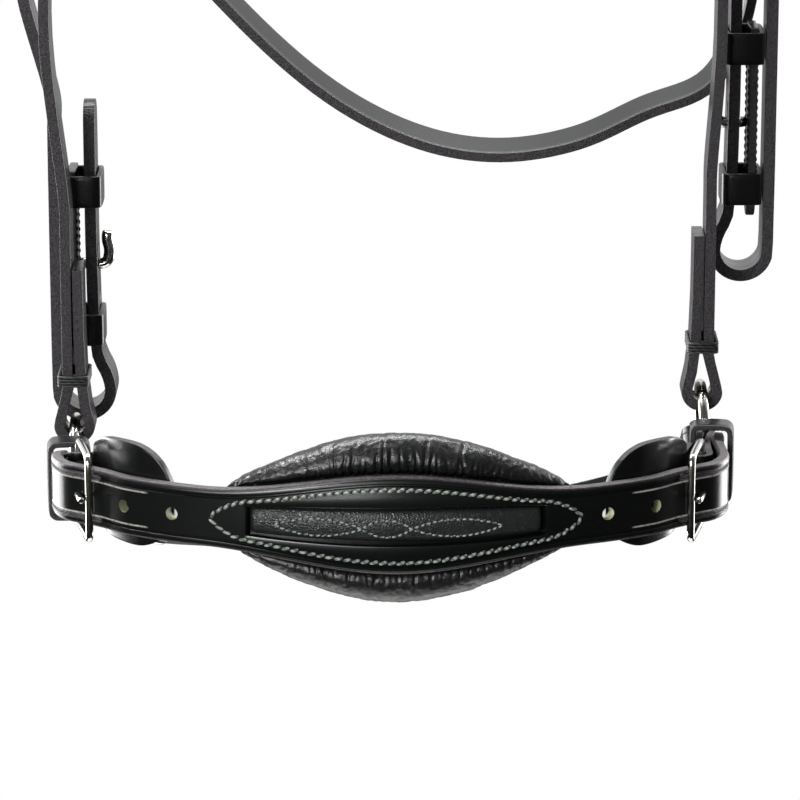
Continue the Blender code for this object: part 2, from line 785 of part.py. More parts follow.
def chape(name, side, unit, along, length, leather):
    """A strap folded round the heel bar and round the ring, its ends meeting on the inner side."""
    bar_fold = bar_eye(unit, along, CHAPE_LEATHER, BAR_NECK)
    wire, ring_fold = ring_eye(side, -Y, -along, -chape_out(side), CHAPE_LEATHER, BAR_NECK)
    middle = (bar_fold[0] + ring_fold[-1]) / 2
    joint = along * (GAP / 2)
    route = [middle - joint] + bar_fold + ring_fold + [middle + joint]

    def width_at(point, from_start, to_end):
        return waisted(NOSE_WIDTH, point, wire)

    made = strap(name, route, Z, width_at, CHAPE_LEATHER, leather)
    cut_tongue_slot(made, name, unit, CHAPE_LEATHER)


def adjuster_keeper(side, start, along, length, leather):
    """The loose keeper stands upright, so the chape and the billet run down through it at a slant."""
    inner = CHAPE_LEATHER + GAP / 2
    outer = CHAPE_LEATHER + GAP * 1.5 + NOSE_LEATHER + BILLET_LIFT
    out = chape_out(side)
    level = Vector((along.x, along.y, 0)).normalized()
    centre = start + along * (length / 2) + out * ((outer - inner) / 2)
    width = NOSE_WIDTH + 2 * ADJUSTER_KEEPER_SLACK
    keeper(f"adjuster_keeper_{side.name}", centre, level, out, width, inner + outer, ADJUSTER_KEEPER_LENGTH,
           leather, KEEPER_LEATHER * 1.2, 4)


def adjuster_safe(side, leather):
    """The rounded guard between the buckle and the head."""
    sign = side.sign
    offset = -(NOSE_LEATHER / 2 + GAP + SAFE_LEATHER / 2)
    outs = [SAFE_FRONT_OUT + (NOSE_ELLIPSE_OUT - SAFE_FRONT_OUT) * share for share in (0, 0.12, 0.3, 0.6, 0.9)]
    points = [nose_point(sign * out, offset) for out in outs]
    unit = adjuster(side)
    front = unit.heel + unit.toward * unit.reach
    inside = nose_under(unit) + NOSE_LEATHER / 2 + 2 * GAP + SAFE_LEATHER / 2
    beside = unit.wire / 2 + 3 * GAP + TONGUE_WIRE + SAFE_LEATHER / 2
    places = ((0.14, inside), (0.5, (inside + beside) / 2), (0.85, beside))
    points += [front - unit.toward * (unit.reach * u) - unit.out * v for u, v in places]
    start, along, length = chape_line(side)
    points.append(start + along * (length * 0.06) - chape_out(side) * beside)
    hold = CHAPE_LEATHER + GAP * 3 + SAFE_LEATHER / 2
    points.append(start + along * (length * 0.28) - chape_out(side) * hold)
    route = smooth_route(points, 4)
    route = [point + Z * (SAFE_LIFT * safe_swell(from_start)) for point, from_start in zip(route, distances(route))]

    def width_at(point, from_start, to_end):
        if from_start < SAFE_NOSE:
            return SAFE_HEIGHT * max(safe_swell(from_start), SAFE_BLUNT_SHARE)
        return SAFE_TAIL_WIDTH + (SAFE_HEIGHT - SAFE_TAIL_WIDTH) * safe_swell(from_start)

    strap(f"adjuster_safe_{side.name}", route, Z, width_at, SAFE_LEATHER, leather)


def safe_swell(from_start):
    """One where the safe is widest, and none at its nose and under the buckle."""
    share = min(max(1 - from_start / SAFE_NOSE, (from_start - SAFE_NOSE) / SAFE_FALL), 1)
    return math.sqrt(1 - share * share)


def arch_points(out, height, drop_to, count=12):
    """The right half of the arch over the poll, from the top outwards and down to a depth."""
    points = []
    for step in range(count + 1):
        angle = math.pi / 2 * step / count
        points.append(Vector((out * math.sin(angle), 0, -POLL_HEIGHT + height * math.cos(angle))))
    if drop_to > POLL_HEIGHT:
        points.append(Vector((out, 0, -drop_to)))
    return points


def mirrored(points):
    return [Vector((-point.x, point.y, point.z)) for point in reversed(points)]


def arch_layer(offset):
    """The half width and the height of the arch at a distance above the pad's underside."""
    return POLL_HALF_WIDTH + offset, POLL_HEIGHT + offset


def full_arch(offset, drop_to, flat_half):
    """An arch over the poll from the left end to the right end, flat on its top."""
    out, height = arch_layer(offset)
    right = arch_points(out, height, drop_to)[1:]
    top = [Vector((-flat_half, 0, offset)), Vector((flat_half, 0, offset))]
    return mirrored(right) + top + right


def crown_pad(leather):
    """The padded band on the poll. Its underside is flat in the middle."""
    count = 26
    out, height = arch_layer(PAD_LEATHER / 2)
    limit = math.acos((POLL_HEIGHT - PAD_END_DROP) / height)
    route = []
    for step in range(count + 1):
        angle = limit * (2 * (step + 0.0) / count - 1)
        route.append(Vector((out * math.sin(angle), 0, height * math.cos(angle) - POLL_HEIGHT)))
    middle = count // 2
    flat = (route[middle + 1] - route[middle - 1]).length / 4
    top = PAD_LEATHER / 2
    route[middle:middle + 1] = [Vector((-flat, 0, top)), Vector((flat, 0, top))]

    def width_at(point, from_start, to_end):
        left = min(from_start, to_end)
        share = 1 - min(left / (PAD_WIDTH / 4), 1)
        return PAD_WIDTH * (1 - 0.35 * share * share)

    strap("crown_pad", route, Y, width_at, PAD_LEATHER, leather)


def cheek_unit(side):
    heel = Vector((side.sign * cheek_heel_out(side), CHEEK_Y, -side.heel_drop))
    return buckle_unit(heel, Z, X * side.sign, SMALL_REACH, SMALL_WIRE, CHEEK_WIDTH, SMALL_SIDE_PLAY)


def cheek_heel_out(side):
    return side.cheek_top_out - (CHEEK_LEATHER + GAP) / 2


def slip_unit():
    heel = Vector((-SLIP_HEEL_OUT, SLIP_Y, -SLIP_HEEL_DROP))
    return buckle_unit(heel, Z, -X, SMALL_REACH, SMALL_WIRE, SLIP_WIDTH, SMALL_SIDE_PLAY)


def throat_unit(side):
    heel = Vector((side.sign * THROAT_HEEL_OUT, THROAT_Y, -THROAT_HEEL_DROP))
    return buckle_unit(heel, Z, X * side.sign, THROAT_REACH, SMALL_WIRE, THROAT_WIDTH, SMALL_SIDE_PLAY)


def hanging_billet(unit, billet, chape_leather, tip_drop):
    """A billet that comes down inside the front bar, out over the heel bar, and down to its tip."""
    front = unit.heel + unit.toward * unit.reach
    under = unit.wire / 2 + GAP + billet / 2
    over = unit.wire / 2 + GAP + chape_leather + BILLET_LIFT + billet / 2
    beside = chape_leather + GAP * 1.5 + BILLET_LIFT / 4 + billet / 2
    crossing = ((-0.5, -under * 1.1), (0, -under * 1.1), (0.3, -under * 0.2), (0.6, over * 0.7), (0.9, over))
    points = [front - unit.toward * (unit.reach * u) + unit.out * v for u, v in crossing]
    points.append(unit.heel - unit.toward * (unit.wire / 2) + unit.out * over)
    points.append(unit.heel - unit.toward * (BAR_NECK + unit.wire / 2) + unit.out * beside)
    low = unit.heel + unit.out * beside
    low.z = -tip_drop
    points.append((points[-1] + low) / 2)
    points.append(low)
    return points


def crown_strap(leather):
    """The headpiece: one wide strap over the poll, split at each end into a cheek and a throat billet."""
    offset = PAD_LEATHER + GAP + CROWN_LEATHER / 2
    flat_half = POLL_HALF_WIDTH / 20
    arch = full_arch(offset, CROWN_SPLIT_DROP, flat_half)
    edges = [CHEEK_Y - CHEEK_WIDTH / 2, CHEEK_Y + CHEEK_WIDTH / 2, THROAT_Y - THROAT_WIDTH / 2,
             THROAT_Y + THROAT_WIDTH / 2]
    mesh = bmesh.new()
    frames = section_frames(arch, Y)
    deep = CROWN_LEATHER / 2

    def add_section(frame):
        centre, across, through = frame
        low = [mesh.verts.new(centre + across * y - through * deep) for y in edges]
        high = [mesh.verts.new(centre + across * y + through * deep) for y in edges]
        return [mesh.faces.new((a, b, c, d)) for a, b, c, d in zip(low, low[1:], high[1:], high)]

    faces = add_section(frames[0])
    first = list(faces)
    for step, (old, new) in enumerate(zip(frames, frames[1:])):
        made = bmesh.ops.extrude_face_region(mesh, geom=faces)["geom"]
        if step:
            bmesh.ops.delete(mesh, geom=faces, context="FACES")
        faces = [item for item in made if isinstance(item, bmesh.types.BMFace)]
        carry_verts(faces, old, new)
    for side, ends in ((LEFT, first), (RIGHT, faces)):
        frame = frames[0] if side.sign < 0 else frames[-1]
        for face in ends:
            middle = face.calc_center_median().y
            if abs(middle - CHEEK_Y) < CHEEK_WIDTH / 2:
                extend_billet(mesh, face, frame, cheek_billet_route(side, frame[0]))
            elif abs(middle - THROAT_Y) < THROAT_WIDTH / 2:
                extend_billet(mesh, face, frame, throat_billet_route(side, frame[0]))
    made = finish_object("crown_strap", mesh, leather)
    for side in SIDES:
        cut_tongue_way(made, f"crown_cheek_{side.name}", cheek_unit(side))
        cut_tongue_way(made, f"crown_throat_{side.name}", throat_unit(side))
    return made


def carry_verts(faces, old, new):
    """Moves the corners of faces from one section of a strap to the next."""
    centre, across, through = old
    scale = through.length_squared
    for vert in {vert for face in faces for vert in face.verts}:
        place = vert.co - centre
        a = place.dot(across)
        t = place.dot(through) / scale
        vert.co = new[0] + new[1] * a + new[2] * t


def cheek_billet_route(side, start):
    unit = cheek_unit(side)
    points = [start] + hanging_billet(unit, CROWN_LEATHER, CHEEK_LEATHER, CHEEK_BILLET_DROP)
    return smooth_route([Vector((point.x, 0, point.z)) for point in points], 3)


def throat_billet_route(side, start):
    unit = throat_unit(side)
    points = [start] + hanging_billet(unit, CROWN_LEATHER, THROAT_LEATHER, THROAT_BILLET_DROP)[1:]
    return smooth_route([Vector((point.x, 0, point.z)) for point in points], 3)


def extend_billet(mesh, face, frame, route):
    """Draws one end face of the crown out along a billet's route and tapers its tip."""
    frames = section_frames(route, frame[1])
    if frames[0][2].dot(frame[2]) < 0:
        frames = [(centre, across, -through) for centre, across, through in frames]
    run = distances(route)
    width = max(vert.co.y for vert in face.verts) - min(vert.co.y for vert in face.verts)
    middle = face.calc_center_median().y
    deep = CROWN_LEATHER / 2
    faces = [face]
    for step in range(1, len(route)):
        made = bmesh.ops.extrude_face_region(mesh, geom=faces)["geom"]
        bmesh.ops.delete(mesh, geom=faces, context="FACES_ONLY")
        signs = [[(math.copysign(1, vert.co.y - middle), vert) for vert in item.verts]
                 for item in made if isinstance(item, bmesh.types.BMFace)]
        faces = [item for item in made if isinstance(item, bmesh.types.BMFace)]
        old = frames[step - 1]
        centre, across, through = frames[step]
        half = pointed(width, run[-1] - run[step]) / 2
        for sign, vert in signs[0]:
            level = math.copysign(deep, (vert.co - old[0]).dot(old[2]))
            spread = Y * (middle + sign * half)
            vert.co = centre + through * level + spread


def sliphead(leather, metal, binding):
    """The noseband's headstrap: over the poll, buckled on the left, with an eye on each ring."""
    unit = slip_unit()
    offset = PAD_LEATHER + GAP + SLIP_LEATHER / 2
    flat_half = POLL_HALF_WIDTH / 20
    arch = full_arch(offset, POLL_HEIGHT, flat_half)
    shift = Y * SLIP_Y
    arch = [point + shift for point in arch]
    down = slip_run(RIGHT, arch[-1])
    billet = hanging_billet(unit, SLIP_LEATHER, SLIP_LEATHER, SLIP_BILLET_DROP)
    left = smooth_route([arch[1], arch[0]] + billet, 3)[4:]
    route = list(reversed(left)) + arch + down
    eye = slip_eye(RIGHT)[0]

    def width_at(point, from_start, to_end):
        return min(pointed(SLIP_WIDTH, from_start), waisted(SLIP_WIDTH, point, eye))

    made = strap("sliphead_strap", route, Y, width_at, SLIP_LEATHER, leather)
    cut_tongue_way(made, "sliphead", unit)
    slip_cheek(unit, leather)
    buckle_frame("sliphead_buckle", unit, metal)
    wire_body("sliphead_tongue", tongue_route(unit), TONGUE_WIRE, metal)
    for side in SIDES:
        ring_binding(side, binding)
    slip_keepers(unit, leather)


def slip_eye(side):
    """The eye round the top of a ring, from the inner layer to the outer one."""
    outward = X * side.sign
    return ring_eye(side, ring_up(), Z, outward, SLIP_LEATHER, SLIP_NECK)


def slip_run(side, top):
    """From under the arch down to the ring, round it, and up to the end of the fold."""
    wire, fold = slip_eye(side)
    outer = list(reversed(fold))
    neck = outer[0]
    shoulder = Vector((side.sign * side.slip_out, SLIP_Y, -SLIP_SHOULDER_DROP))
    fold_end = fold[0] + Z * (SLIP_FOLD - SLIP_NECK)
    plumb = neck + Z * SLIP_PLUMB
    hanging = [plumb, plumb - Z * TIP_LENGTH, neck + Z * SLIP_NECK, neck]
    points = smooth_route([top + Z * POLL_HEIGHT / 20, top, shoulder] + hanging, 4)[5:]
    return points + outer[1:] + [fold_end]


def slip_cheek(unit, leather):
    """The left side of the sliphead, from its buckle down to the ring."""
    away = -Z
    bar_fold = bar_eye(unit, away, SLIP_LEATHER, BAR_NECK)
    bar_fold = [bar_fold[0] - Z * CHEEK_FOLD] + bar_fold
    wire, fold = slip_eye(LEFT)
    outer = list(reversed(fold))
    neck = outer[0]
    shoulder = Vector((-LEFT.slip_out, SLIP_Y, -SLIP_SHOULDER_DROP))
    plumb = neck + Z * SLIP_PLUMB
    straight = bar_fold[-1] - Z * (SLIP_BILLET_DROP - SLIP_HEEL_DROP)
    hanging = [plumb, plumb - Z * TIP_LENGTH, neck + Z * SLIP_NECK, neck]
    run = smooth_route([bar_fold[-1], straight, shoulder] + hanging, 4)[4:]
    route = bar_fold + run + outer[1:] + [fold[0] + Z * (SLIP_FOLD - SLIP_NECK)]

    def width_at(point, from_start, to_end):
        return waisted(SLIP_WIDTH, point, wire)

    made = strap("sliphead_cheek", route, Y, width_at, SLIP_LEATHER, leather)
    cut_tongue_slot(made, "sliphead_cheek", unit, SLIP_LEATHER)


def ring_binding(side, binding):
    """Thread wound round both layers of the sliphead above the ring."""
    wire, fold = slip_eye(side)
    centre = (fold[0] + fold[-1]) / 2 + Z * BINDING_LENGTH
    half_u = SLIP_WIDTH / 2 + GAP + BINDING_THREAD / 2
    half_v = SLIP_LEATHER + 2 * GAP + BINDING_THREAD / 2
    route = rounded_rectangle(centre, Y, X, half_u, half_v, BINDING_THREAD * 0.75, turns=2)
    section = flat_section(BINDING_LENGTH, BINDING_THREAD)
    swept_body(f"ring_binding_{side.name}", route, Z, lambda index: section, binding, closed=True)


def slip_keepers(unit, leather):
    for label, drop in (("keeper", KEEPER_DROP), ("runner", RUNNER_DROP)):
        keeper_below(f"sliphead_{label}", unit, SLIP_WIDTH, SLIP_LEATHER, SLIP_LEATHER, drop, KEEPER_LENGTH,
                     leather)


def cheekpiece(side, leather, metal):
    """One cheekpiece: buckled at the top, turned up at the bottom to hold the bit, hooked on its stud."""
    unit = cheek_unit(side)
    sign = side.sign
    name = side.name
    low = -side.loop_drop + CHEEK_LEATHER / 2 + BIT_LOOP_RADIUS
    main_low = Vector((sign * side.cheek_out, CHEEK_Y, low))
    fold = bar_eye(unit, -Z, CHEEK_LEATHER, BAR_NECK)
    start = fold[0] - Z * CHEEK_FOLD
    centre = main_low - X * (sign * BIT_LOOP_RADIUS)
    turn = []
    for step in range(1, 12):
        angle = math.pi * step / 12
        turn.append(centre + X * (sign * BIT_LOOP_RADIUS * math.cos(angle)) - Z * (BIT_LOOP_RADIUS * math.sin(angle)))
    bottom = -side.loop_drop
    tail_x = sign * (side.cheek_out - TAIL_OFFSET)
    inner_low = centre - X * (sign * BIT_LOOP_RADIUS)
    neck = Vector((tail_x, CHEEK_Y, bottom + HOOK_KEEPER_LOW - KEEPER_LENGTH * 0.75))
    shares = (0.33, 0.67)
    rise = [inner_low + (neck - inner_low) * share - X * (sign * CHEEK_LEATHER * 0.3) for share in shares]
    tail_top = Vector((tail_x, CHEEK_Y, bottom + TAIL_LENGTH))
    tail_mid = Vector((tail_x, CHEEK_Y, bottom + TAIL_LENGTH - TIP_LENGTH))
    tip = [tail_mid + (tail_top - tail_mid) * share for share in (0, 0.4, 0.75, 1)]
    straight = fold[-1] - Z * CHEEK_FOLD
    level = Vector((sign * side.cheek_out, CHEEK_Y, bottom + TAIL_LENGTH))
    main = smooth_route([fold[-1], straight, level, level - Z * TIP_LENGTH], 4)[4:]
    route = [start] + fold + main + [main_low] + turn + [inner_low] + rise + [neck] + tip

    def width_at(point, from_start, to_end):
        return pointed(CHEEK_WIDTH, to_end)

    made = strap(f"cheek_strap_{name}", route, Y, width_at, CHEEK_LEATHER, leather)
    cut_tongue_slot(made, f"cheek_strap_{name}", unit, CHEEK_LEATHER)
    stud_height = bottom + HOOK_STUD_HEIGHT
    slot_centre = Vector((tail_x, CHEEK_Y, stud_height + STUD_SLOT_LENGTH / 4))
    cut(made, box_cutter(f"stud_slot_{name}", slot_centre, (X, Y, Z),
                         (CHEEK_LEATHER * 2, STUD_SLOT_WIDTH, STUD_SLOT_LENGTH)))
    buckle_frame(f"cheek_buckle_{name}", unit, metal)
    wire_body(f"cheek_tongue_{name}", tongue_route(unit), TONGUE_WIRE, metal)
    hook_end(side, bottom, tail_x, leather, metal)
    cheek_keepers(side, unit, leather)


def hook_end(side, bottom, tail_x, leather, metal):
    """The reinforcing patch, the hook stud and the two keepers of the turned-up end."""
    sign = side.sign
    name = side.name
    patch_out = side.cheek_out - CHEEK_LEATHER / 2 - KEEPER_LEATHER - 2 * GAP - PATCH_LEATHER / 2
    heights = [PATCH_LOW, PATCH_LOW + TIP_LENGTH / 4, PATCH_LOW + TIP_LENGTH, (PATCH_LOW + PATCH_HIGH) / 2,
               PATCH_HIGH - TIP_LENGTH, PATCH_HIGH]
    route = [Vector((sign * patch_out, CHEEK_Y, bottom + height)) for height in heights]

    def width_at(point, from_start, to_end):
        return pointed(CHEEK_WIDTH, from_start)

    strap(f"hook_patch_{name}", route, Y, width_at, PATCH_LEATHER, leather)
    stack_out = patch_out + PATCH_LEATHER / 2
    stack_in = abs(tail_x) - CHEEK_LEATHER / 2
    middle = sign * (stack_out + stack_in) / 2
    for label, height in (("lower", HOOK_KEEPER_LOW), ("upper", HOOK_KEEPER_HIGH)):
        centre = Vector((middle, CHEEK_Y, bottom + height))
        keeper(f"hook_{label}_keeper_{name}", centre, Z, X * sign, CHEEK_WIDTH, stack_out - stack_in,
               KEEPER_LENGTH, leather)
    root = Vector((sign * (patch_out - PATCH_LEATHER / 2 - GAP), CHEEK_Y, bottom + HOOK_STUD_HEIGHT))
    bend = sign * (abs(tail_x) - CHEEK_LEATHER / 2 - STUD_WIRE)
    belly = bend - sign * STUD_BELLY
    points = [root, Vector((bend, CHEEK_Y, root.z)), Vector((belly, CHEEK_Y, root.z + STUD_RISE * 0.4)),
              Vector((belly + sign * STUD_WIRE * 0.3, CHEEK_Y, root.z + STUD_RISE * 0.75)),
              Vector((bend - sign * STUD_WIRE * 0.3, CHEEK_Y, root.z + STUD_RISE))]
    wire_body(f"hook_stud_{name}", smooth_route(points, 3), STUD_WIRE, metal)


def cheek_keepers(side, unit, leather):
    """Below the buckle a sewn keeper, and under it a runner that slides."""
    for label, drop in (("keeper", KEEPER_DROP), ("runner", RUNNER_DROP)):
        keeper_below(f"cheek_{label}_{side.name}", unit, CHEEK_WIDTH, CHEEK_LEATHER, CROWN_LEATHER, drop,
                     KEEPER_LENGTH, leather)


def browband(leather):
    """The band across the forehead. At each end it is folded into a loop round the crown and sliphead."""
    stack_in = POLL_HALF_WIDTH + PAD_LEATHER
    stack_out = stack_in + CROWN_LEATHER + 2 * GAP
    front = SLIP_Y - SLIP_WIDTH / 2 - BROW_LOOP_PLAY - BROW_LEATHER / 2
    back = THROAT_Y + THROAT_WIDTH / 2 + BROW_LOOP_PLAY + BROW_LEATHER / 2
    inner = stack_in - BROW_LOOP_PLAY / 2 - BROW_LEATHER / 2
    outer = stack_out + BROW_LOOP_PLAY / 2 + BROW_LEATHER / 2
    level = -BROW_DROP
    fold_front = front - BROW_TAIL
    half = []
    for step in range(0, 9):
        angle = math.pi / 2 * step / 9
        half.append(Vector((outer * math.sin(angle), fold_front - (BROW_REACH + fold_front) * math.cos(angle), level)))
    nearer = outer - (BROW_LEATHER + GAP)
    end = [Vector((outer, fold_front, level)), Vector((outer, front, level)),
           Vector((outer, back - BROW_LEATHER, level)), Vector((outer - BROW_LEATHER / 3, back, level)),
           Vector((inner + BROW_LEATHER / 3, back, level)), Vector((inner, back - BROW_LEATHER, level)),
           Vector((inner, front, level)), Vector((nearer, fold_front + BROW_LEATHER, level)),
           Vector((nearer, fold_front, level))]
    right = half[1:] + end
    route = mirrored(right) + [half[0]] + right
    strap("browband", route, Z, lambda point, a, b: BROW_WIDTH, BROW_LEATHER, leather)


def throatlash(leather, metal):
    """The strap that hangs in a bow under the throat, buckled to the crown on both sides."""
    folds = {}
    for side in SIDES:
        unit = throat_unit(side)
        fold = bar_eye(unit, -Z, THROAT_LEATHER, BAR_NECK)
        folds[side.name] = [fold[0] - Z * THROAT_FOLD] + fold
        buckle_frame(f"throat_buckle_{side.name}", unit, metal)
        wire_body(f"throat_tongue_{side.name}", tongue_route(unit), TONGUE_WIRE, metal)
        keeper_below(f"throat_keeper_{side.name}", unit, THROAT_WIDTH, THROAT_LEATHER, CROWN_LEATHER,
                     BAR_NECK + THROAT_KEEPER_LENGTH * 0.6, THROAT_KEEPER_LENGTH, leather)
    steep = (THROAT_LOW_DROP - THROAT_HEEL_DROP) / (POLL_HALF_WIDTH * POLL_HALF_WIDTH)
    shares = (-1.22, -0.95, -0.6, -0.28, 0, 0.28, 0.52)
    bow = []
    for share in shares:
        along = POLL_HALF_WIDTH * share
        bow.append(Vector((THROAT_LOW_OUT + along, THROAT_Y, -THROAT_LOW_DROP + steep * 0.29 * along * along)))
    left_run = folds["left"]
    right_run = folds["right"]
    out = RIGHT.cheek_out - CHEEK_LEATHER
    turn_up = [Vector((out * 0.88, THROAT_Y, -THROAT_LOW_DROP * 0.925)),
               Vector((out * 0.975, THROAT_Y, -THROAT_LOW_DROP * 0.84)),
               Vector((out * 0.97, THROAT_Y, -THROAT_LOW_DROP * 0.72))]
    billet_drop = Z * (THROAT_BILLET_DROP - THROAT_HEEL_DROP)
    points = [left_run[-1], left_run[-1] - billet_drop]
    points += bow + turn_up + [right_run[-1] - billet_drop, right_run[-1]]
    body = smooth_route(points, 4)[4:-4]
    route = left_run + body + list(reversed(right_run))
    sides = twisted_sides(route, Y, throatlash_twist)
    made = strap("throatlash_strap", route, sides, lambda point, a, b: THROAT_WIDTH, THROAT_LEATHER, leather)
    for side in SIDES:
        cut_tongue_slot(made, f"throatlash_{side.name}", throat_unit(side), THROAT_LEATHER)


def throatlash_twist(point):
    """How far the throatlash is turned: level with the billets not at all, and lower down its front edge drops."""
    below = (-point.z - THROAT_BILLET_DROP - TIP_LENGTH) / THROAT_TWIST_RUN
    share = min(max(below, 0), 1)
    return THROAT_TWIST * share * share * (3 - 2 * share)


def chin_back():
    """The direction from the rings towards the back of the chin strap."""
    return (Y * math.cos(CHIN_HANG) - ring_up() * math.sin(CHIN_HANG)).normalized()


def chin_upright():
    return ring_axis().cross(chin_back()).normalized()


def chin_wire(side):
    return ring_centre(side) + chin_back() * (RING_RADIUS - RING_LEAN)


def chin_point(share):
    """A point of the chin strap's middle line, from the left ring at 0 to the right ring at 1."""
    angle = math.pi * share
    base = chin_wire(LEFT) + (chin_wire(RIGHT) - chin_wire(LEFT)) * ((1 - math.cos(angle)) / 2)
    return base + chin_back() * (CHIN_DEPTH * math.sin(angle))


def chin_route():
    count = 40
    return [chin_point(step / count) for step in range(count + 1)]


def chin_unit():
    route = chin_route()
    heel = at_distance(route, CHIN_HEEL)[0]
    toward = (at_distance(route, CHIN_HEEL + CHIN_REACH)[0] - heel).normalized()
    out = toward.cross(chin_upright())
    return buckle_unit(heel, toward, out, CHIN_REACH, SMALL_WIRE, CHIN_WIDTH, SMALL_SIDE_PLAY)


def chin_pieces(leather, metal):
    unit = chin_unit()
    buckle_frame("chin_buckle", unit, metal)
    wire_body("chin_tongue", tongue_route(unit), TONGUE_WIRE, metal)
    start = chin_wire(LEFT)
    along = (unit.heel - start).normalized()
    length = (unit.heel - start).length
    across = along.cross(chin_upright()).normalized()
    chin_chape(unit, along, across, leather)
    chin_strap(unit, start, along * length, across, leather)
    inner = CHAPE_LEATHER + GAP / 2
    outer = CHAPE_LEATHER + GAP * 1.5 + CHIN_LEATHER
    centre = start + along * (length * 0.5) + across * ((outer - inner) / 2)
    keeper("chin_keeper", centre, along, across, CHIN_WIDTH, outer + inner, CHIN_KEEPER_LENGTH, leather)


def chin_chape(unit, along, across, leather):
    """A strap folded round the chin buckle's heel bar and round the left ring."""
    bar_fold = bar_eye(unit, -along, CHAPE_LEATHER, BAR_NECK)
    wire, ring_fold = ring_eye(LEFT, chin_back(), along, -across, CHAPE_LEATHER, BAR_NECK)
    middle = (bar_fold[0] + ring_fold[-1]) / 2
    joint = along * (GAP / 2)
    route = [middle + joint] + bar_fold + ring_fold + [middle - joint]

    def width_at(point, from_start, to_end):
        return waisted(CHIN_WIDTH, point, wire)

    made = strap("chin_chape", route, chin_upright(), width_at, CHAPE_LEATHER, leather)
    cut_tongue_slot(made, "chin_chape", unit, CHAPE_LEATHER)


def chin_strap(unit, start, chape_run, across, leather):
    """The chin strap itself: its billet end on the left, its sewn eye round the right ring."""
    front = unit.heel + unit.toward * unit.reach
    under = unit.wire / 2 + GAP + CHIN_LEATHER / 2
    over = unit.wire / 2 + GAP + CHAPE_LEATHER + BILLET_LIFT + CHIN_LEATHER / 2
    beside = CHAPE_LEATHER + GAP * 1.5 + CHIN_LEATHER / 2
    tip = [start + chape_run * share + across * beside for share in (0.3, 0.5, 0.72)]
    crossing = ((1.05, over), (0.85, over), (0.55, over * 0.6), (0.3, -under * 0.3), (0, -under * 1.1))
    points = tip + [front - unit.toward * (unit.reach * u) + unit.out * v for u, v in crossing]
    route = chin_route()
    total = distances(route)[-1]
    begin = CHIN_HEEL + CHIN_REACH + HOLE_PITCH
    end = total - CHIN_FOLD * 0.7
    steps = 12
    body = [at_distance(route, begin + (end - begin) * step / steps)[0] for step in range(steps + 1)]
    last_wire = chin_wire(RIGHT)
    away = (body[-1] - last_wire).normalized()
    outward = chin_upright().cross(away).normalized()
    neck = CHIN_FOLD * 0.3
    wire, fold = ring_eye(RIGHT, chin_back(), away, outward, CHIN_LEATHER, neck)
    fold_end = fold[-1] + away * (CHIN_FOLD * 0.3)
    beside_fold = body[-1] - outward * ((CHIN_LEATHER + GAP) / 2)
    path = smooth_route(points + body[:-1] + [beside_fold], 2) + fold + [fold_end]

    def width_at(point, from_start, to_end):
        return min(pointed(CHIN_WIDTH, from_start), waisted(CHIN_WIDTH, point, wire))

    made = strap("chin_strap", path, chin_upright(), width_at, CHIN_LEATHER, leather)
    cut_tongue_way(made, "chin", unit)


def build():
    clear_scene()
    leather = bridle_leather()
    soft = soft_leather()
    metal = steel()
    waxed = thread()
    crown_pad(soft)
    crown_strap(leather)
    sliphead(leather, metal, waxed)
    browband(leather)
    throatlash(leather, metal)
    for side in SIDES:
        cheekpiece(side, leather, metal)
    rings(metal)
    nosepiece(leather)
    nosepiece_lining(leather)
    nosepiece_inlay(soft)
    nose_pad(soft)
    adjuster_pieces(leather, metal)
    chin_pieces(leather, metal)


build()
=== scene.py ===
"""Looks of the drop noseband bridle: leather, stitching, padding and wire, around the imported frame."""
import json
import math
import random

import bmesh
import bpy
from mathutils import Matrix, Vector, noise
from mathutils.bvhtree import BVHTree


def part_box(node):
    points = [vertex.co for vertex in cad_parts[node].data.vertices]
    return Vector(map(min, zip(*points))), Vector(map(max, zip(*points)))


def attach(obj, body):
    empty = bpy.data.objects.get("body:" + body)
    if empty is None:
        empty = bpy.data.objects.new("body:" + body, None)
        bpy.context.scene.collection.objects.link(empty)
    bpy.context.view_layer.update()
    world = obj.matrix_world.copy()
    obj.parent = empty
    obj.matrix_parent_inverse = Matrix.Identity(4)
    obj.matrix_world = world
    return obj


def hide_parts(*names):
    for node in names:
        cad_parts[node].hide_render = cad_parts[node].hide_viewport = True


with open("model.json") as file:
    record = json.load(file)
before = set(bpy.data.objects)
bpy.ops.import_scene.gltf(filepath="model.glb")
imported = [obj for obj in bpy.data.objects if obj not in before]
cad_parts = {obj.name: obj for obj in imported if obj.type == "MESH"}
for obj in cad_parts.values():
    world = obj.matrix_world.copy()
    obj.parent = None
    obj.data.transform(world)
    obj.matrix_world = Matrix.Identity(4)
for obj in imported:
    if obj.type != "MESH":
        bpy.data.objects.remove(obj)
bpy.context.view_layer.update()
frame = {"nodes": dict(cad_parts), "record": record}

MM = 0.001
GAP = 0.3 * MM
WELD = 0.01 * MM

X = Vector((1, 0, 0))
Y = Vector((0, 1, 0))
Z = Vector((0, 0, 1))

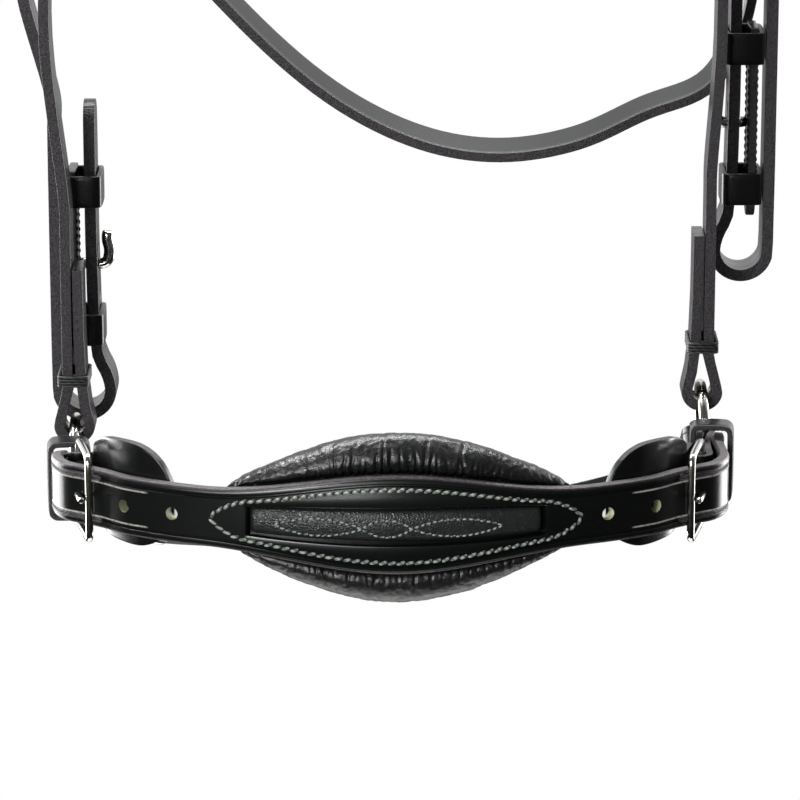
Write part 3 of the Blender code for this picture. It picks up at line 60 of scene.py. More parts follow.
# Sizes of the noseband, as in the frame
NOSE_WIDTH = 20 * MM
NOSE_LEATHER = 4 * MM
NOSE_DROP = 430 * MM
NOSE_FRONT = 116 * MM
NOSE_HALF_SPAN = 115 * MM
NOSE_DEPTH = 66 * MM
NOSE_CENTRE_OUT = 2 * MM
NOSE_SWELL = 13.5 * MM
NOSE_SWELL_REACH = 64 * MM
NOSE_ELLIPSE_OUT = 86 * MM
ARC_LEAD = 10 * MM
ADJUSTER_OUT = 99.8 * MM
ADJUSTER_FRONT_Y = -87.01 * MM
ADJUSTER_TURN = math.radians(12)
HOLE_LEAD = 0.8 * MM
ADJUSTER_REACH = 23 * MM
ADJUSTER_WIRE = 2.8 * MM
CHAPE_LEATHER = 2.2 * MM
BILLET_LIFT = 1.2 * MM
UNDER_SHARE = 1.45
RING_OUT = 108 * MM
RING_Y = -18 * MM
RING_RADIUS = 16 * MM
RING_LEAN = 0.6 * MM
LEFT_RING_DROP = 437 * MM
RIGHT_RING_DROP = 425 * MM
TIP_LENGTH = 10 * MM
TIP_SHARE = 0.35
HOLE_BORE = 4.3 * MM
HOLE_PITCH = 16 * MM
HOLE_COUNT = 2
BILLET_PIECES = 8
CHIN_HANG = math.radians(38)

# The noseband's tooling: rounded edges, a creased line inside each edge, and the window for the inlay
EDGE_ROUND = 1.1 * MM
CREASE_INSET = 2.9 * MM
CREASE_WIDTH = 1 * MM
CREASE_DEPTH = 0.5 * MM
BEAD_RISE = 0.15 * MM
WINDOW_HALF_SPAN = 48.5 * MM
WINDOW_END_HALF = 4.9 * MM
WINDOW_MID_HALF = 6.5 * MM
WINDOW_RIM = 0.5 * MM
WINDOW_FLOOR = 3.6 * MM
NOSE_DOME = 2.2 * MM

# Rubbed edges, the creased line inside a strap's edge with painted shade along it, and the pale line of
# painted highlight at the noseband's ends
STRAP_RUB = 0.5 * MM
KEEPER_RUB = 0.4 * MM
STUD_FULLNESS = 0.9 * MM
STRAP_CREASE_INSET = 2.4 * MM
STRAP_CREASE_REACH = 0.45 * MM
PALE_LINE_FROM = 79.5 * MM
PALE_LINE_FULL = 81 * MM
PALE_LINE_ACROSS = 5.9 * MM

# The inlay in the window
INLAY_INSET = 1.1 * MM
INLAY_END_HALF = 4.3 * MM
INLAY_MID_HALF = 5.3 * MM
INLAY_THICKNESS = 5.3 * MM
INLAY_CROWN = 1.5 * MM

# The stuffed pad behind the noseband
PAD_HALF_SPAN = 60 * MM
PAD_THICKNESS = 13 * MM
PAD_END_THICKNESS = 5 * MM
PAD_ROLL = 11.5 * MM
PAD_SHIFT = 1 * MM
PAD_BULGE = 4 * MM
PAD_END_INSET = 5 * MM
PAD_SEAT = 3.8 * MM
PAD_CAP = 1.2 * MM

# The padding under the crown
POLL_HALF_WIDTH = 97 * MM
POLL_HEIGHT = 90 * MM
CROWN_PAD_WIDTH = 64 * MM
CROWN_PAD_LEATHER = 6 * MM
CROWN_PAD_ROUND = 16 * MM
CROWN_ROLL = 6 * MM
CROWN_PUFF = 1 * MM
CROWN_CAP = 1 * MM
PAD_END_DROP = 78 * MM
ARCH_STEPS = 48

# Sewing
STITCH_PITCH = 3 * MM
STITCH_LENGTH = 3.3 * MM
STITCH_THREAD = 1.1 * MM
FINE_PITCH = 2.05 * MM
FINE_LENGTH = 2.1 * MM
FINE_THREAD = 0.72 * MM
ROW_PITCH = 2.6 * MM
ROW_LENGTH = 2.4 * MM
ROW_THREAD = 0.6 * MM
ROW_INSET = 2.8 * MM
STITCH_SLANT = 0.34
FINE_SLANT = 0.22
SLANT_PLAY = 0.09
BINDING_TURNS = 4
OVAL_INSET = 4.4 * MM
OVAL_HALF_SPAN = 60 * MM
OVAL_POINT = 12 * MM
FANCY_DROP = 0.7 * MM
PATCH_ROW_LEAD = 4 * MM
SAFE_ROW_RISE = 6.5 * MM
SAFE_ROW_START = 17 * MM
SAFE_ROW_END = 3 * MM
BAND_ROW_LEAD = 24 * MM

# Filling the padding
STUFFING_PRESSURE = 4
FILLING_QUALITY = 6
FILLING_FRAMES = 20

# The photo's view, the floor and the lamps
VIEW_ELEVATION = math.radians(15)
VIEW_DISTANCE = 1.46
VIEW_AIM = Vector((3.3 * MM, -118 * MM, -387.6 * MM))
LENS_LENGTH = 203.7
SENSOR_WIDTH = 36
FAR_CLIP = 20
FLOOR_HALF_SIZE = 0.45
FLOOR_LEVEL = -1.2
FLOOR_GLOW = 0.6
ROOM_LEVEL = 0.1
ROOM_DIFFUSE = 0.35

# Each lamp's place, what it points at, its width and height, and its power
LAMPS = {
    "top_box": ((-0.1, 0.3, 0.85), (0, -0.06, -0.42), 1.7, 0.35, 88),
    "left_box": ((-1.15, 0.75, -0.55), (-0.05, -0.05, -0.42), 1.1, 1.1, 32),
    "right_box": ((1.1, 0.9, -0.5), (0.05, -0.05, -0.4), 0.7, 1.2, 20),
    "key_box": ((-0.65, -1.45, -0.3), (0, -0.1, -0.42), 1.1, 0.25, 10),
    "sheen_box": ((-0.7, -1.38, 0.05), (-0.03, -0.1, -0.42), 0.35, 0.3, 14),
}

BODY_OF = {node: body for body, nodes in frame["record"]["behaviour"]["bodies"].items() for node in nodes}


# Colours and materials

def linear(code):
    """The linear colour of an sRGB hex code."""
    values = [int(code[start:start + 2], 16) / 255 for start in (1, 3, 5)]
    return [*[v / 12.92 if v <= 0.04045 else ((v + 0.055) / 1.055) ** 2.4 for v in values], 1]


def add_node(tree, kind, settings=(), **links):
    """Adds a node, sets its properties and unlinked inputs, and links the others."""
    made = tree.nodes.new(kind)
    for name, value in dict(settings).items():
        if hasattr(made, name):
            setattr(made, name, value)
        else:
            made.inputs[name].default_value = value
    for name, source in links.items():
        place = int(name[1:]) if name[0] == "i" and name[1:].isdigit() else name.replace("_", " ")
        tree.links.new(source, made.inputs[place])
    return made


def new_material(name, settings):
    made = bpy.data.materials.new(name)
    made.use_nodes = True
    shader = made.node_tree.nodes["Principled BSDF"]
    for socket, value in settings.items():
        shader.inputs[socket].default_value = value
    return made, made.node_tree, shader


def scale_for(size):
    """The scale of a texture whose cells are so large."""
    return 1 / size


def feed(tree, socket, value):
    """Links another node's output to a socket, or sets a plain value there."""
    if isinstance(value, bpy.types.NodeSocket):
        tree.links.new(value, socket)
    else:
        socket.default_value = value


def maths(tree, operation, first, second=None):
    """One sum on one or two values, each a number or another node's output."""
    made = add_node(tree, "ShaderNodeMath", {"operation": operation})
    feed(tree, made.inputs[0], first)
    if second is not None:
        feed(tree, made.inputs[1], second)
    return made.outputs["Value"]


def ramp(tree, value, low, high, start=0, end=1):
    """A value brought from one range to another and kept inside it."""
    settings = {"From Min": low, "From Max": high, "To Min": start, "To Max": end}
    return add_node(tree, "ShaderNodeMapRange", settings, Value=value).outputs["Result"]


def mix(tree, share, first, second):
    """A blend of two colours, each a hex code or another node's output."""
    made = add_node(tree, "ShaderNodeMix", {"data_type": "RGBA"}, i0=share)
    for place, colour in ((6, first), (7, second)):
        feed(tree, made.inputs[place], linear(colour) if isinstance(colour, str) else colour)
    return made.outputs[2]


def cloud(tree, place, size, detail, roughness=0.5):
    """Soft random patches of about one size."""
    settings = {"Scale": scale_for(size), "Detail": detail, "Roughness": roughness}
    return add_node(tree, "ShaderNodeTexNoise", settings, Vector=place).outputs["Fac"]


def object_place(tree):
    return add_node(tree, "ShaderNodeTexCoord").outputs["Object"]


def stored(tree, name):
    """A number that the mesh keeps at each of its points."""
    return add_node(tree, "ShaderNodeAttribute", {"attribute_name": name}).outputs["Fac"]


def bump_layer(tree, height, distance, strength, below=None):
    made = add_node(tree, "ShaderNodeBump", {"Distance": distance, "Strength": strength}, Height=height)
    if below is not None:
        tree.links.new(below, made.inputs["Normal"])
    return made.outputs["Normal"]


def finish_shader(tree, shader, **sources):
    for name, source in sources.items():
        tree.links.new(source, shader.inputs[name.replace("_", " ")])


def hide_leather(name, face, deep, cut_edge, grain, roughness, creased=False, painted_highlight_ends=False):
    """Strap leather, dyed black and waxed: a smooth front with fine pores, and a burnished cut edge.

    The piece's "across" is the place between its two cut edges and "half" its half width."""
    made, tree, shader = new_material(name, {"IOR": 1.45})
    place = object_place(tree)
    across, half, edge = (stored(tree, word) for word in ("across", "half", "cut_edge"))
    pores = add_node(tree, "ShaderNodeTexVoronoi", {"Scale": scale_for(grain)}, Vector=place)
    fibres = cloud(tree, place, 0.7 * MM, 3, 0.6)
    dyed = mix(tree, cloud(tree, place, 34 * MM, 3), deep, face)
    burnished = mix(tree, ramp(tree, fibres, 0.3, 0.72), deep, cut_edge)
    whole = mix(tree, edge, dyed, burnished)
    level = bump_layer(tree, pores.outputs["Distance"], 0.05 * MM, 0.25)
    level = bump_layer(tree, cloud(tree, place, grain / 3, 4), 0.03 * MM, 0.2, level)
    level = bump_layer(tree, maths(tree, "MULTIPLY", edge, fibres), 0.5 * MM, 1.0, level)
    # Where asked, the crease line is darkened to the deep colour: painted shade in the groove, beside its
    # bump
    if creased:
        inside = maths(tree, "SUBTRACT", half, maths(tree, "ABSOLUTE", across))
        off_line = maths(tree, "ABSOLUTE", maths(tree, "SUBTRACT", inside, STRAP_CREASE_INSET))
        line = ramp(tree, off_line, 0, STRAP_CREASE_REACH)
        level = bump_layer(tree, line, 0.35 * MM, 0.8, level)
        whole = mix(tree, line, deep, whole)
    # Painted highlight: a pale line, #9a9892, along each crease line at the noseband's ends
    if painted_highlight_ends:
        whole = mix(tree, painted_end_highlights(tree, place, across, fibres), whole, "#9a9892")
    finish_shader(tree, shader, Base_Color=whole, Normal=level,
                  Roughness=ramp(tree, edge, 0, 1, roughness, roughness + 0.2))
    return made


def painted_end_highlights(tree, place, across, highlight_breakup):
    """Where a painted highlight lies on the crease lines at the noseband's ends: a pale line inside each
    edge.
    """
    way = add_node(tree, "ShaderNodeSeparateXYZ", i0=place).outputs["X"]
    at_end = ramp(tree, maths(tree, "ABSOLUTE", way), PALE_LINE_FROM, PALE_LINE_FULL)
    side = maths(tree, "ABSOLUTE", across)
    off_line = maths(tree, "ABSOLUTE", maths(tree, "SUBTRACT", side, PALE_LINE_ACROSS))
    line = ramp(tree, off_line, 0.12 * MM, 0.4 * MM, 1, 0)
    return maths(tree, "MULTIPLY", maths(tree, "MULTIPLY", line, at_end), ramp(tree, highlight_breakup, 0.3, 0.5))


def glove_leather(name, crest, deep, cell, roughness, relief=0.09 * MM):
    """Soft dyed sheepskin over padding: a pebbled grain with fine crackle between the pebbles."""
    made, tree, shader = new_material(name, {"IOR": 1.48})
    place = object_place(tree)
    warp = add_node(tree, "ShaderNodeTexNoise", {"Scale": scale_for(5 * MM), "Detail": 2}, Vector=place)
    shifted = add_node(tree, "ShaderNodeVectorMath", {"operation": "SCALE", "Scale": 0.9 * MM},
                       i0=warp.outputs["Color"])
    bent = add_node(tree, "ShaderNodeVectorMath", {"operation": "ADD"}, i0=place,
                    i1=shifted.outputs["Vector"])
    cells = {"feature": "DISTANCE_TO_EDGE", "Scale": scale_for(cell)}
    pebbles = add_node(tree, "ShaderNodeTexVoronoi", cells, Vector=bent.outputs["Vector"])
    raised = ramp(tree, pebbles.outputs["Distance"], 0, 0.35)
    level = bump_layer(tree, cloud(tree, place, cell * 3, 3), 0.45 * MM, 0.4)
    finish_shader(tree, shader, Base_Color=mix(tree, cloud(tree, place, 22 * MM, 2), deep, crest),
                  Roughness=ramp(tree, raised, 0, 1, roughness + 0.12, roughness),
                  Normal=bump_layer(tree, raised, relief, 0.35, level))
    return made


def waxed_thread(name, light, deep):
    """Waxed linen thread: three plies twisted together, each ply's top painted lighter as a dull sheen and
    the grooves between painted darker as shade.
    """
    made, tree, shader = new_material(name, {"IOR": 1.5, "Roughness": 0.48})
    twist = {"bands_direction": "DIAGONAL", "Scale": scale_for(4.4 * MM), "Distortion": 1.5}
    plies = add_node(tree, "ShaderNodeTexWave", twist, Vector=object_place(tree)).outputs["Fac"]
    finish_shader(tree, shader, Base_Color=mix(tree, plies, deep, light),
                  Normal=bump_layer(tree, plies, 0.12 * MM, 0.6))
    return made


def polished_nickel(name):
    """Wire, tumbled and polished: nearly a mirror, with faint draw marks."""
    made, tree, shader = new_material(name, {"Metallic": 1.0})
    haze = cloud(tree, object_place(tree), 3 * MM, 4)
    finish_shader(tree, shader, Base_Color=mix(tree, haze, "#b9b8b2", "#d3d2cd"),
                  Roughness=ramp(tree, haze, 0, 1, 0.1, 0.24))
    return made


DYE = ("#0e100f", "#050606")
CUT_EDGE = "#373137"
GRAIN = 0.45 * MM
WAXED = 0.26
FACE = hide_leather("waxed_strap_leather", *DYE, CUT_EDGE, GRAIN, WAXED, creased=True)
PLAIN = hide_leather("uncreased_strap_leather", *DYE, CUT_EDGE, GRAIN, WAXED)
# The noseband's cut edge, #575054, is paler than the other straps': partly its burnished edge colour, partly
# a painted highlight for the top light that the pad keeps off it
NOSE_FACE = hide_leather("noseband_leather", *DYE, "#575054", GRAIN, WAXED, painted_highlight_ends=True)
RAW = hide_leather("undyed_hole_wall", "#a9a98a", "#7d7f64", "#a9a98a", 0.5 * MM, 0.6)
PAD = glove_leather("pad_sheepskin", "#101211", "#070808", 1.1 * MM, 0.3)
INLAY = glove_leather("inlay_goatskin", "#1e2220", "#131615", 0.9 * MM, 0.27, 0.3 * MM)
# Each thread's lighter colour is a painted sheen on the ply tops, its darker one painted shade between the
# plies
THREAD = waxed_thread("grey_green_thread", "#8d958d", "#3f463f")
BINDING = waxed_thread("black_binding_thread", "#222423", "#0d0e0e")
NICKEL = polished_nickel("polished_nickel")
PRICK = new_material("stitch_hole_shadow", {"Base Color": linear("#070808"), "Roughness": 0.9})[0]


# Meshes

def smooth_route(points, pieces):
    """Points on one smooth curve through the given points, with so many pieces in each span."""
    ends = [points[0] * 2 - points[1]] + list(points) + [points[-1] * 2 - points[-2]]
    route = []
    for corners in zip(ends, ends[1:], ends[2:], ends[3:]):
        knots = [0.0]
        for before, after in zip(corners, corners[1:]):
            knots.append(knots[-1] + math.sqrt((after - before).length))
        for step in range(pieces):
            place = knots[1] + (knots[2] - knots[1]) * step / pieces
            level = list(corners)
            for depth, first, last in ((1, 0, 3), (2, 0, 2), (1, 1, 2)):
                level = blended(level, knots, place, depth, first, last)
            route.append(level[0])
    return route + [points[-1]]


def blended(level, knots, place, depth, first, last):
    """One step of the curve's blend: each pair of neighbours weighed by how near the place is."""
    result = []
    for index in range(first, last):
        low = knots[index]
        high = knots[index + depth]
        share = (place - low) / (high - low)
        result.append(level[index - first] * (1 - share) + level[index - first + 1] * share)
    return result


def distances(route):
    run = [0.0]
    for a, b in zip(route, route[1:]):
        run.append(run[-1] + (b - a).length)
    return run


def section_frames(route, side, closed=False):
    """For each point its centre, side direction and thickness direction, mitred at the bends."""
    frames = []
    count = len(route)
    for index, centre in enumerate(route):
        if closed:
            incoming = (centre - route[index - 1]).normalized()
            outgoing = (route[(index + 1) % count] - centre).normalized()
        else:
            incoming = (centre - route[index - 1]) if index else route[1] - route[0]
            outgoing = (route[index + 1] - centre) if index < count - 1 else centre - route[-2]
            incoming = incoming.normalized()
            outgoing = outgoing.normalized()
        tangent = (incoming + outgoing).normalized()
        mitre = 1 / max(tangent.dot(outgoing), 0.5)
        frames.append((centre, side, tangent.cross(side).normalized() * mitre))
    return frames


def swept(route, side, section_at, closed=False):
    """A bmesh whose section, a list of (across, through) places, follows the route."""
    frames = section_frames(route, side, closed)
    mesh = bmesh.new()
    centre, across, through = frames[0]
    first = mesh.faces.new([mesh.verts.new(centre + across * a + through * t) for a, t in section_at(0)])
    last = first
    for index in range(1, len(route)):
        made = bmesh.ops.extrude_face_region(mesh, geom=[last])["geom"]
        if index > 1:
            bmesh.ops.delete(mesh, geom=[last], context="FACES_ONLY")
        last = next(item for item in made if isinstance(item, bmesh.types.BMFace))
        centre, across, through = frames[index]
        for vert, (a, t) in zip(last.verts, section_at(index)):
            vert.co = centre + across * a + through * t
    if closed:
        rim = list(first.edges) + list(last.edges)
        bmesh.ops.delete(mesh, geom=[first, last], context="FACES_ONLY")
        bmesh.ops.bridge_loops(mesh, edges=rim)
    bmesh.ops.recalc_face_normals(mesh, faces=mesh.faces)
    return mesh


def round_section(radius, corners):
    angles = [2 * math.pi * corner / corners for corner in range(corners)]
    return [(radius * math.cos(angle), radius * math.sin(angle)) for angle in angles]


def measure_across(mesh, axis):
    """Stores for each corner where it lies between the piece's two cut edges, and whether it is on one."""
    places = [vert.co.dot(axis) for vert in mesh.verts]
    middle = (min(places) + max(places)) / 2
    half = (max(places) - min(places)) / 2
    across = mesh.verts.layers.float.new("across")
    width = mesh.verts.layers.float.new("half")
    edge = mesh.verts.layers.float.new("cut_edge")
    mesh.normal_update()
    for vert in mesh.verts:
        vert[across] = vert.co.dot(axis) - middle
        vert[width] = half
        facing = max((abs(face.normal.dot(axis)) for face in vert.link_faces), default=0)
        vert[edge] = 1.0 if facing > 0.75 else 0.0


def add_object(name, data):
    made = bpy.data.objects.new(name, data)
    bpy.context.scene.collection.objects.link(made)
    return made


def mesh_data(name, mesh):
    """A mesh datablock from a bmesh, which is used up."""
    data = bpy.data.meshes.new(name)
    mesh.to_mesh(data)
    mesh.free()
    return data


def piece(name, mesh, finish, body, smooth_angle=35):
    """Turns a bmesh into a piece that rides on a body and takes its finish from a slot."""
    data = mesh_data(name, mesh)
    data.shade_smooth()
    data.set_sharp_from_angle(angle=math.radians(smooth_angle))
    made = add_object(name, data)
    for one in finish if isinstance(finish, (list, tuple)) else [finish]:
        data.materials.append(one)
    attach(made, body)
    return made


def cad_mesh(node):
    """A merged copy of a frame node's mesh."""
    mesh = bmesh.new()
    mesh.from_mesh(frame["nodes"][node].data)
    bmesh.ops.remove_doubles(mesh, verts=mesh.verts, dist=WELD)
    return mesh


def join_flats(mesh, turn, skew):
    """Joins triangles that lie nearly in one plane. Both limits are in degrees."""
    bmesh.ops.join_triangles(mesh, faces=mesh.faces, angle_face_threshold=math.radians(turn),
                             angle_shape_threshold=math.radians(skew))


def rounded(made, levels):
    """Rounds a piece's facets with a subdivision surface, and gives that modifier."""
    finer = made.modifiers.new("rounding", "SUBSURF")
    finer.levels = levels
    finer.render_levels = levels
    return finer


def keep_result(made, modifier):
    """Takes a modifier's result into the piece's own mesh."""
    seen = made.evaluated_get(bpy.context.evaluated_depsgraph_get())
    finished = bpy.data.meshes.new_from_object(seen)
    made.modifiers.remove(modifier)
    made.data = finished


def push_out(data, how_far):
    """Moves each point of a mesh along its normal, as far as how_far says of its place and normal."""
    starts = [(vert.co.copy(), vert.normal.copy()) for vert in data.vertices]
    for vert, (place, normal) in zip(data.vertices, starts):
        vert.co += normal * how_far(place, normal)
    data.update()


def dressed_strap(node, axis, finish=FACE, rub=STRAP_RUB, smoothed=True):
    """A frame strap with its corners rubbed round and its cut edges told from its faces."""
    mesh = cad_mesh(node)
    join_flats(mesh, 20, 80)
    sharp = [edge for edge in mesh.edges if edge.is_manifold and edge.calc_face_angle(0) > math.radians(50)]
    bmesh.ops.bevel(mesh, geom=sharp, offset=rub, offset_type="OFFSET", segments=3, profile=0.5,
                    affect="EDGES", material=-1, clamp_overlap=True)
    measure_across(mesh, axis)
    made = piece(f"{node}_leather", mesh, finish, BODY_OF[node], 60)
    if smoothed:
        rounded(made, 1)
    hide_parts(node)
    return made


def polished_wire(node, fuller):
    """A frame wire with its facets rounded away, and made fuller all round where asked."""
    mesh = cad_mesh(node)
    mesh.normal_update()
    for vert, normal in [(vert, vert.normal.copy()) for vert in mesh.verts]:
        vert.co += normal * fuller
    join_flats(mesh, 30, 60)
    made = piece(f"{node}_wire", mesh, NICKEL, BODY_OF[node], 180)
    rounded(made, 2)
    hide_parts(node)


# The noseband, on the frame's course

def outward(route):
    """The sign of a section's thickness direction that faces away from the head."""
    return 1 if section_frames(route, Z)[len(route) // 2][2].y < 0 else -1


def nose_point(out, offset=0.0, rise=0.0):
    """A point of the noseband's middle line, so far out, moved out from the head and up."""
    share = out / NOSE_HALF_SPAN
    depth = NOSE_DEPTH * (1 - math.sqrt(1 - share * share))
    slope = NOSE_DEPTH * share / (NOSE_HALF_SPAN * math.sqrt(1 - share * share))
    normal = Vector((slope, -1, 0)).normalized()
    return Vector((out, -NOSE_FRONT + depth, -NOSE_DROP + rise)) + normal * offset


def nose_normal(out):
    return (nose_point(out, NOSE_LEATHER) - nose_point(out)).normalized()


def nose_half_height(out):
    share = min(abs(out - NOSE_CENTRE_OUT) / NOSE_SWELL_REACH, 1)
    return NOSE_WIDTH / 2 + NOSE_SWELL / 2 * math.cos(math.pi / 2 * share) ** 2


def billet_points(sign, ring_drop):
    """The noseband's end from the front bar, up through the frame, and back along the chape."""
    turn = Matrix.Rotation(sign * ADJUSTER_TURN, 3, -Z)
    toward = turn @ -Y
    out = turn @ (X * sign)
    front = Vector((sign * ADJUSTER_OUT, ADJUSTER_FRONT_Y, -NOSE_DROP))
    under = (ADJUSTER_WIRE / 2 + GAP + NOSE_LEATHER / 2) * UNDER_SHARE
    over = ADJUSTER_WIRE / 2 + GAP + CHAPE_LEATHER + BILLET_LIFT + NOSE_LEATHER / 2
    heel = front - toward * ADJUSTER_REACH
    wire = Vector((sign * RING_OUT, RING_Y - RING_RADIUS + RING_LEAN, -ring_drop))
    along = (wire - heel).normalized()
    aside = CHAPE_LEATHER + GAP * 1.5 + NOSE_LEATHER / 2
    beside = Vector((along.y, -along.x, 0)).normalized() * (sign * aside)
    crossing_shares = ((0, -under), (0.27, over * 0.02), (0.5, over * 0.72), (0.78, over), (1.05, over))
    points = [front - toward * (ADJUSTER_REACH * share) + out * level for share, level in crossing_shares]
    run_shares = (0.4, 0.55, 0.74)
    return points + [heel + (wire - heel) * share + beside for share in run_shares]


def billet_route(sign, start, ring_drop):
    """The smooth course of one end, led in along the arc and without that lead and its start."""
    lead = nose_point(sign * (NOSE_ELLIPSE_OUT - ARC_LEAD))
    return smooth_route([lead, start] + billet_points(sign, ring_drop), BILLET_PIECES)[BILLET_PIECES + 1:]


def nosepiece_route():
    """The whole course, with stations close together at the window's ends."""
    span = NOSE_ELLIPSE_OUT
    outs = [span * math.sin(math.pi / 2 * step / 60) for step in range(-60, 61)]
    for end in (-1, 1):
        rim = NOSE_CENTRE_OUT + end * WINDOW_HALF_SPAN
        outs += [rim - end * WINDOW_RIM, rim, rim + end * WINDOW_RIM * 0.3, rim + end * WINDOW_RIM]
    outs.sort()
    arc = [nose_point(out) for out in outs]
    right = billet_route(1, arc[-1], RIGHT_RING_DROP)
    left = billet_route(-1, arc[0], LEFT_RING_DROP)
    return list(reversed(left)) + arc + right


def eased_outs(half_span, count):
    """Places along the noseband's middle part, closer together towards its ends."""
    return [NOSE_CENTRE_OUT + half_span * math.sin(math.pi / 2 * (2 * step / count - 1))
            for step in range(count + 1)]


def nose_dome(out):
    """How far the middle of the noseband's front stands out over its edges."""
    return NOSE_DOME * (nose_half_height(out) - NOSE_WIDTH / 2) * 2 / NOSE_SWELL


def window_half(out):
    share = min(abs(out - NOSE_CENTRE_OUT) / WINDOW_HALF_SPAN, 1)
    return WINDOW_MID_HALF + (WINDOW_END_HALF - WINDOW_MID_HALF) * share * share


def window_depth(out):
    """How deep the window's floor lies: nothing beyond its ends."""
    left = WINDOW_HALF_SPAN - abs(out - NOSE_CENTRE_OUT)
    if left <= -WINDOW_RIM * 0.9:
        return 0.0
    if left <= -WINDOW_RIM * 0.2:
        return WINDOW_RIM * 0.15
    if left <= WINDOW_RIM * 0.5:
        return WINDOW_RIM * 0.6
    return WINDOW_FLOOR


def nosepiece_section(half, sunk, rim, out_sign, dome):
    """Half of the front from the cut edge inwards, mirrored, with a plain back. The front is domed."""
    deep = NOSE_LEATHER / 2
    crease = half - CREASE_INSET
    front = [(half, -deep + EDGE_ROUND), (half, deep - EDGE_ROUND),
             (half - EDGE_ROUND * 0.3, deep - EDGE_ROUND * 0.3),
             (half - EDGE_ROUND, deep), (half - CREASE_INSET * 0.55, deep + BEAD_RISE),
             (crease + CREASE_WIDTH / 2, deep), (crease + CREASE_WIDTH / 6, deep - CREASE_DEPTH),
             (crease - CREASE_WIDTH / 6, deep - CREASE_DEPTH), (crease - CREASE_WIDTH / 2, deep),
             (rim + (crease - rim) * 0.5, deep), (rim + WINDOW_RIM, deep),
             (rim + WINDOW_RIM * 0.3, deep - min(sunk, WINDOW_RIM * 0.3)),
             (rim, deep - min(sunk, WINDOW_RIM)), (rim, deep - sunk), (rim / 2, deep - sunk)]
    lower = [(-a, t) for a, t in reversed(front)]
    back = [(-half + EDGE_ROUND, -deep), (0, -deep), (half - EDGE_ROUND, -deep)]
    whole = front + [(0, deep - sunk)] + lower
    domed = [(a, t + dome * max(1 - (a / half) ** 2, 0)) for a, t in whole]
    return [(a, t * out_sign) for a, t in domed + back]


def nosepiece():
    route = nosepiece_route()
    run = distances(route)
    facing = outward(route)

    def section_at(index):
        point = route[index]
        in_front = point.y < ADJUSTER_FRONT_Y
        if in_front:
            half = nose_half_height(point.x)
        else:
            left = min(run[index], run[-1] - run[index])
            share = 1 - min(left / TIP_LENGTH, 1)
            half = NOSE_WIDTH / 2 * (TIP_SHARE + (1 - TIP_SHARE) * math.sqrt(1 - share * share))
        sunk = window_depth(point.x) if in_front else 0.0
        rim = min(window_half(point.x) if in_front else WINDOW_END_HALF, (half - CREASE_INSET) * 0.6)
        dome = nose_dome(point.x) if in_front else 0.0
        return nosepiece_section(half, sunk, rim, facing, dome)

    mesh = swept(route, Z, section_at)
    measure_across(mesh, Z)
    edge = mesh.verts.layers.float["cut_edge"]
    for vert in mesh.verts:
        if vert.co.y < ADJUSTER_FRONT_Y:
            from_edge = nose_half_height(vert.co.x) - abs(vert.co.z + NOSE_DROP)
            vert[edge] = 1.0 if from_edge < EDGE_ROUND * 0.5 else 0.0
    made = piece("nosepiece_leather", mesh, [NOSE_FACE, RAW], "noseband")
    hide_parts("nosepiece_strap")
    bore_holes(made)
    return made


def bore_holes(target):
    """Punches the buckle holes through the noseband; their walls stay undyed."""
    mesh = bmesh.new()
    for sign in (-1, 1):
        for number in range(HOLE_COUNT):
            out = sign * (NOSE_ELLIPSE_OUT + HOLE_LEAD - HOLE_PITCH * number)
            turn = nose_normal(out).to_track_quat("Z", "Y").to_matrix().to_4x4()
            bmesh.ops.create_cone(mesh, cap_ends=True, segments=24, radius1=HOLE_BORE / 2,
                                  radius2=HOLE_BORE / 2, depth=NOSE_LEATHER * 3,
                                  matrix=Matrix.Translation(nose_point(out)) @ turn)
    punch = add_object("punch", mesh_data("punch", mesh))
    punch.data.materials.append(RAW)
    tool = target.modifiers.new("punch", "BOOLEAN")
    tool.operation = "DIFFERENCE"
    tool.solver = "EXACT"
    tool.material_mode = "TRANSFER"
    tool.object = punch
    keep_result(target, tool)
    bpy.data.objects.remove(punch)


def nosepiece_inlay():
    """The raised goatskin strip in the window."""
    half_span = WINDOW_HALF_SPAN - INLAY_INSET
    outs = eased_outs(half_span, 60)
    route = [nose_point(out, -NOSE_LEATHER / 2) for out in outs]
    facing = outward(route)

    def section_at(index):
        share = abs(outs[index] - NOSE_CENTRE_OUT) / half_span
        end = 1 - max((share - 0.97) / 0.03, 0) ** 2 * 0.3
        half = (INLAY_MID_HALF + (INLAY_END_HALF - INLAY_MID_HALF) * share * share) * (0.82 + 0.18 * end)
        top = (INLAY_THICKNESS - NOSE_DOME + nose_dome(outs[index])) * end
        edge = (top - INLAY_CROWN) * 0.8
        profile = [(-half, 0), (-half, edge)]
        for step in range(1, 12):
            angle = math.pi * step / 12
            profile.append((-half * math.cos(angle), edge + (top - edge) * math.sin(angle) ** 0.7))
        profile += [(half, edge), (half, 0)]
        return [(a, t * facing) for a, t in profile]

    made = piece("inlay_goatskin_strip", swept(route, Z, section_at), INLAY, "noseband")
    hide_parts("nosepiece_inlay")
    return made


# The nose pad

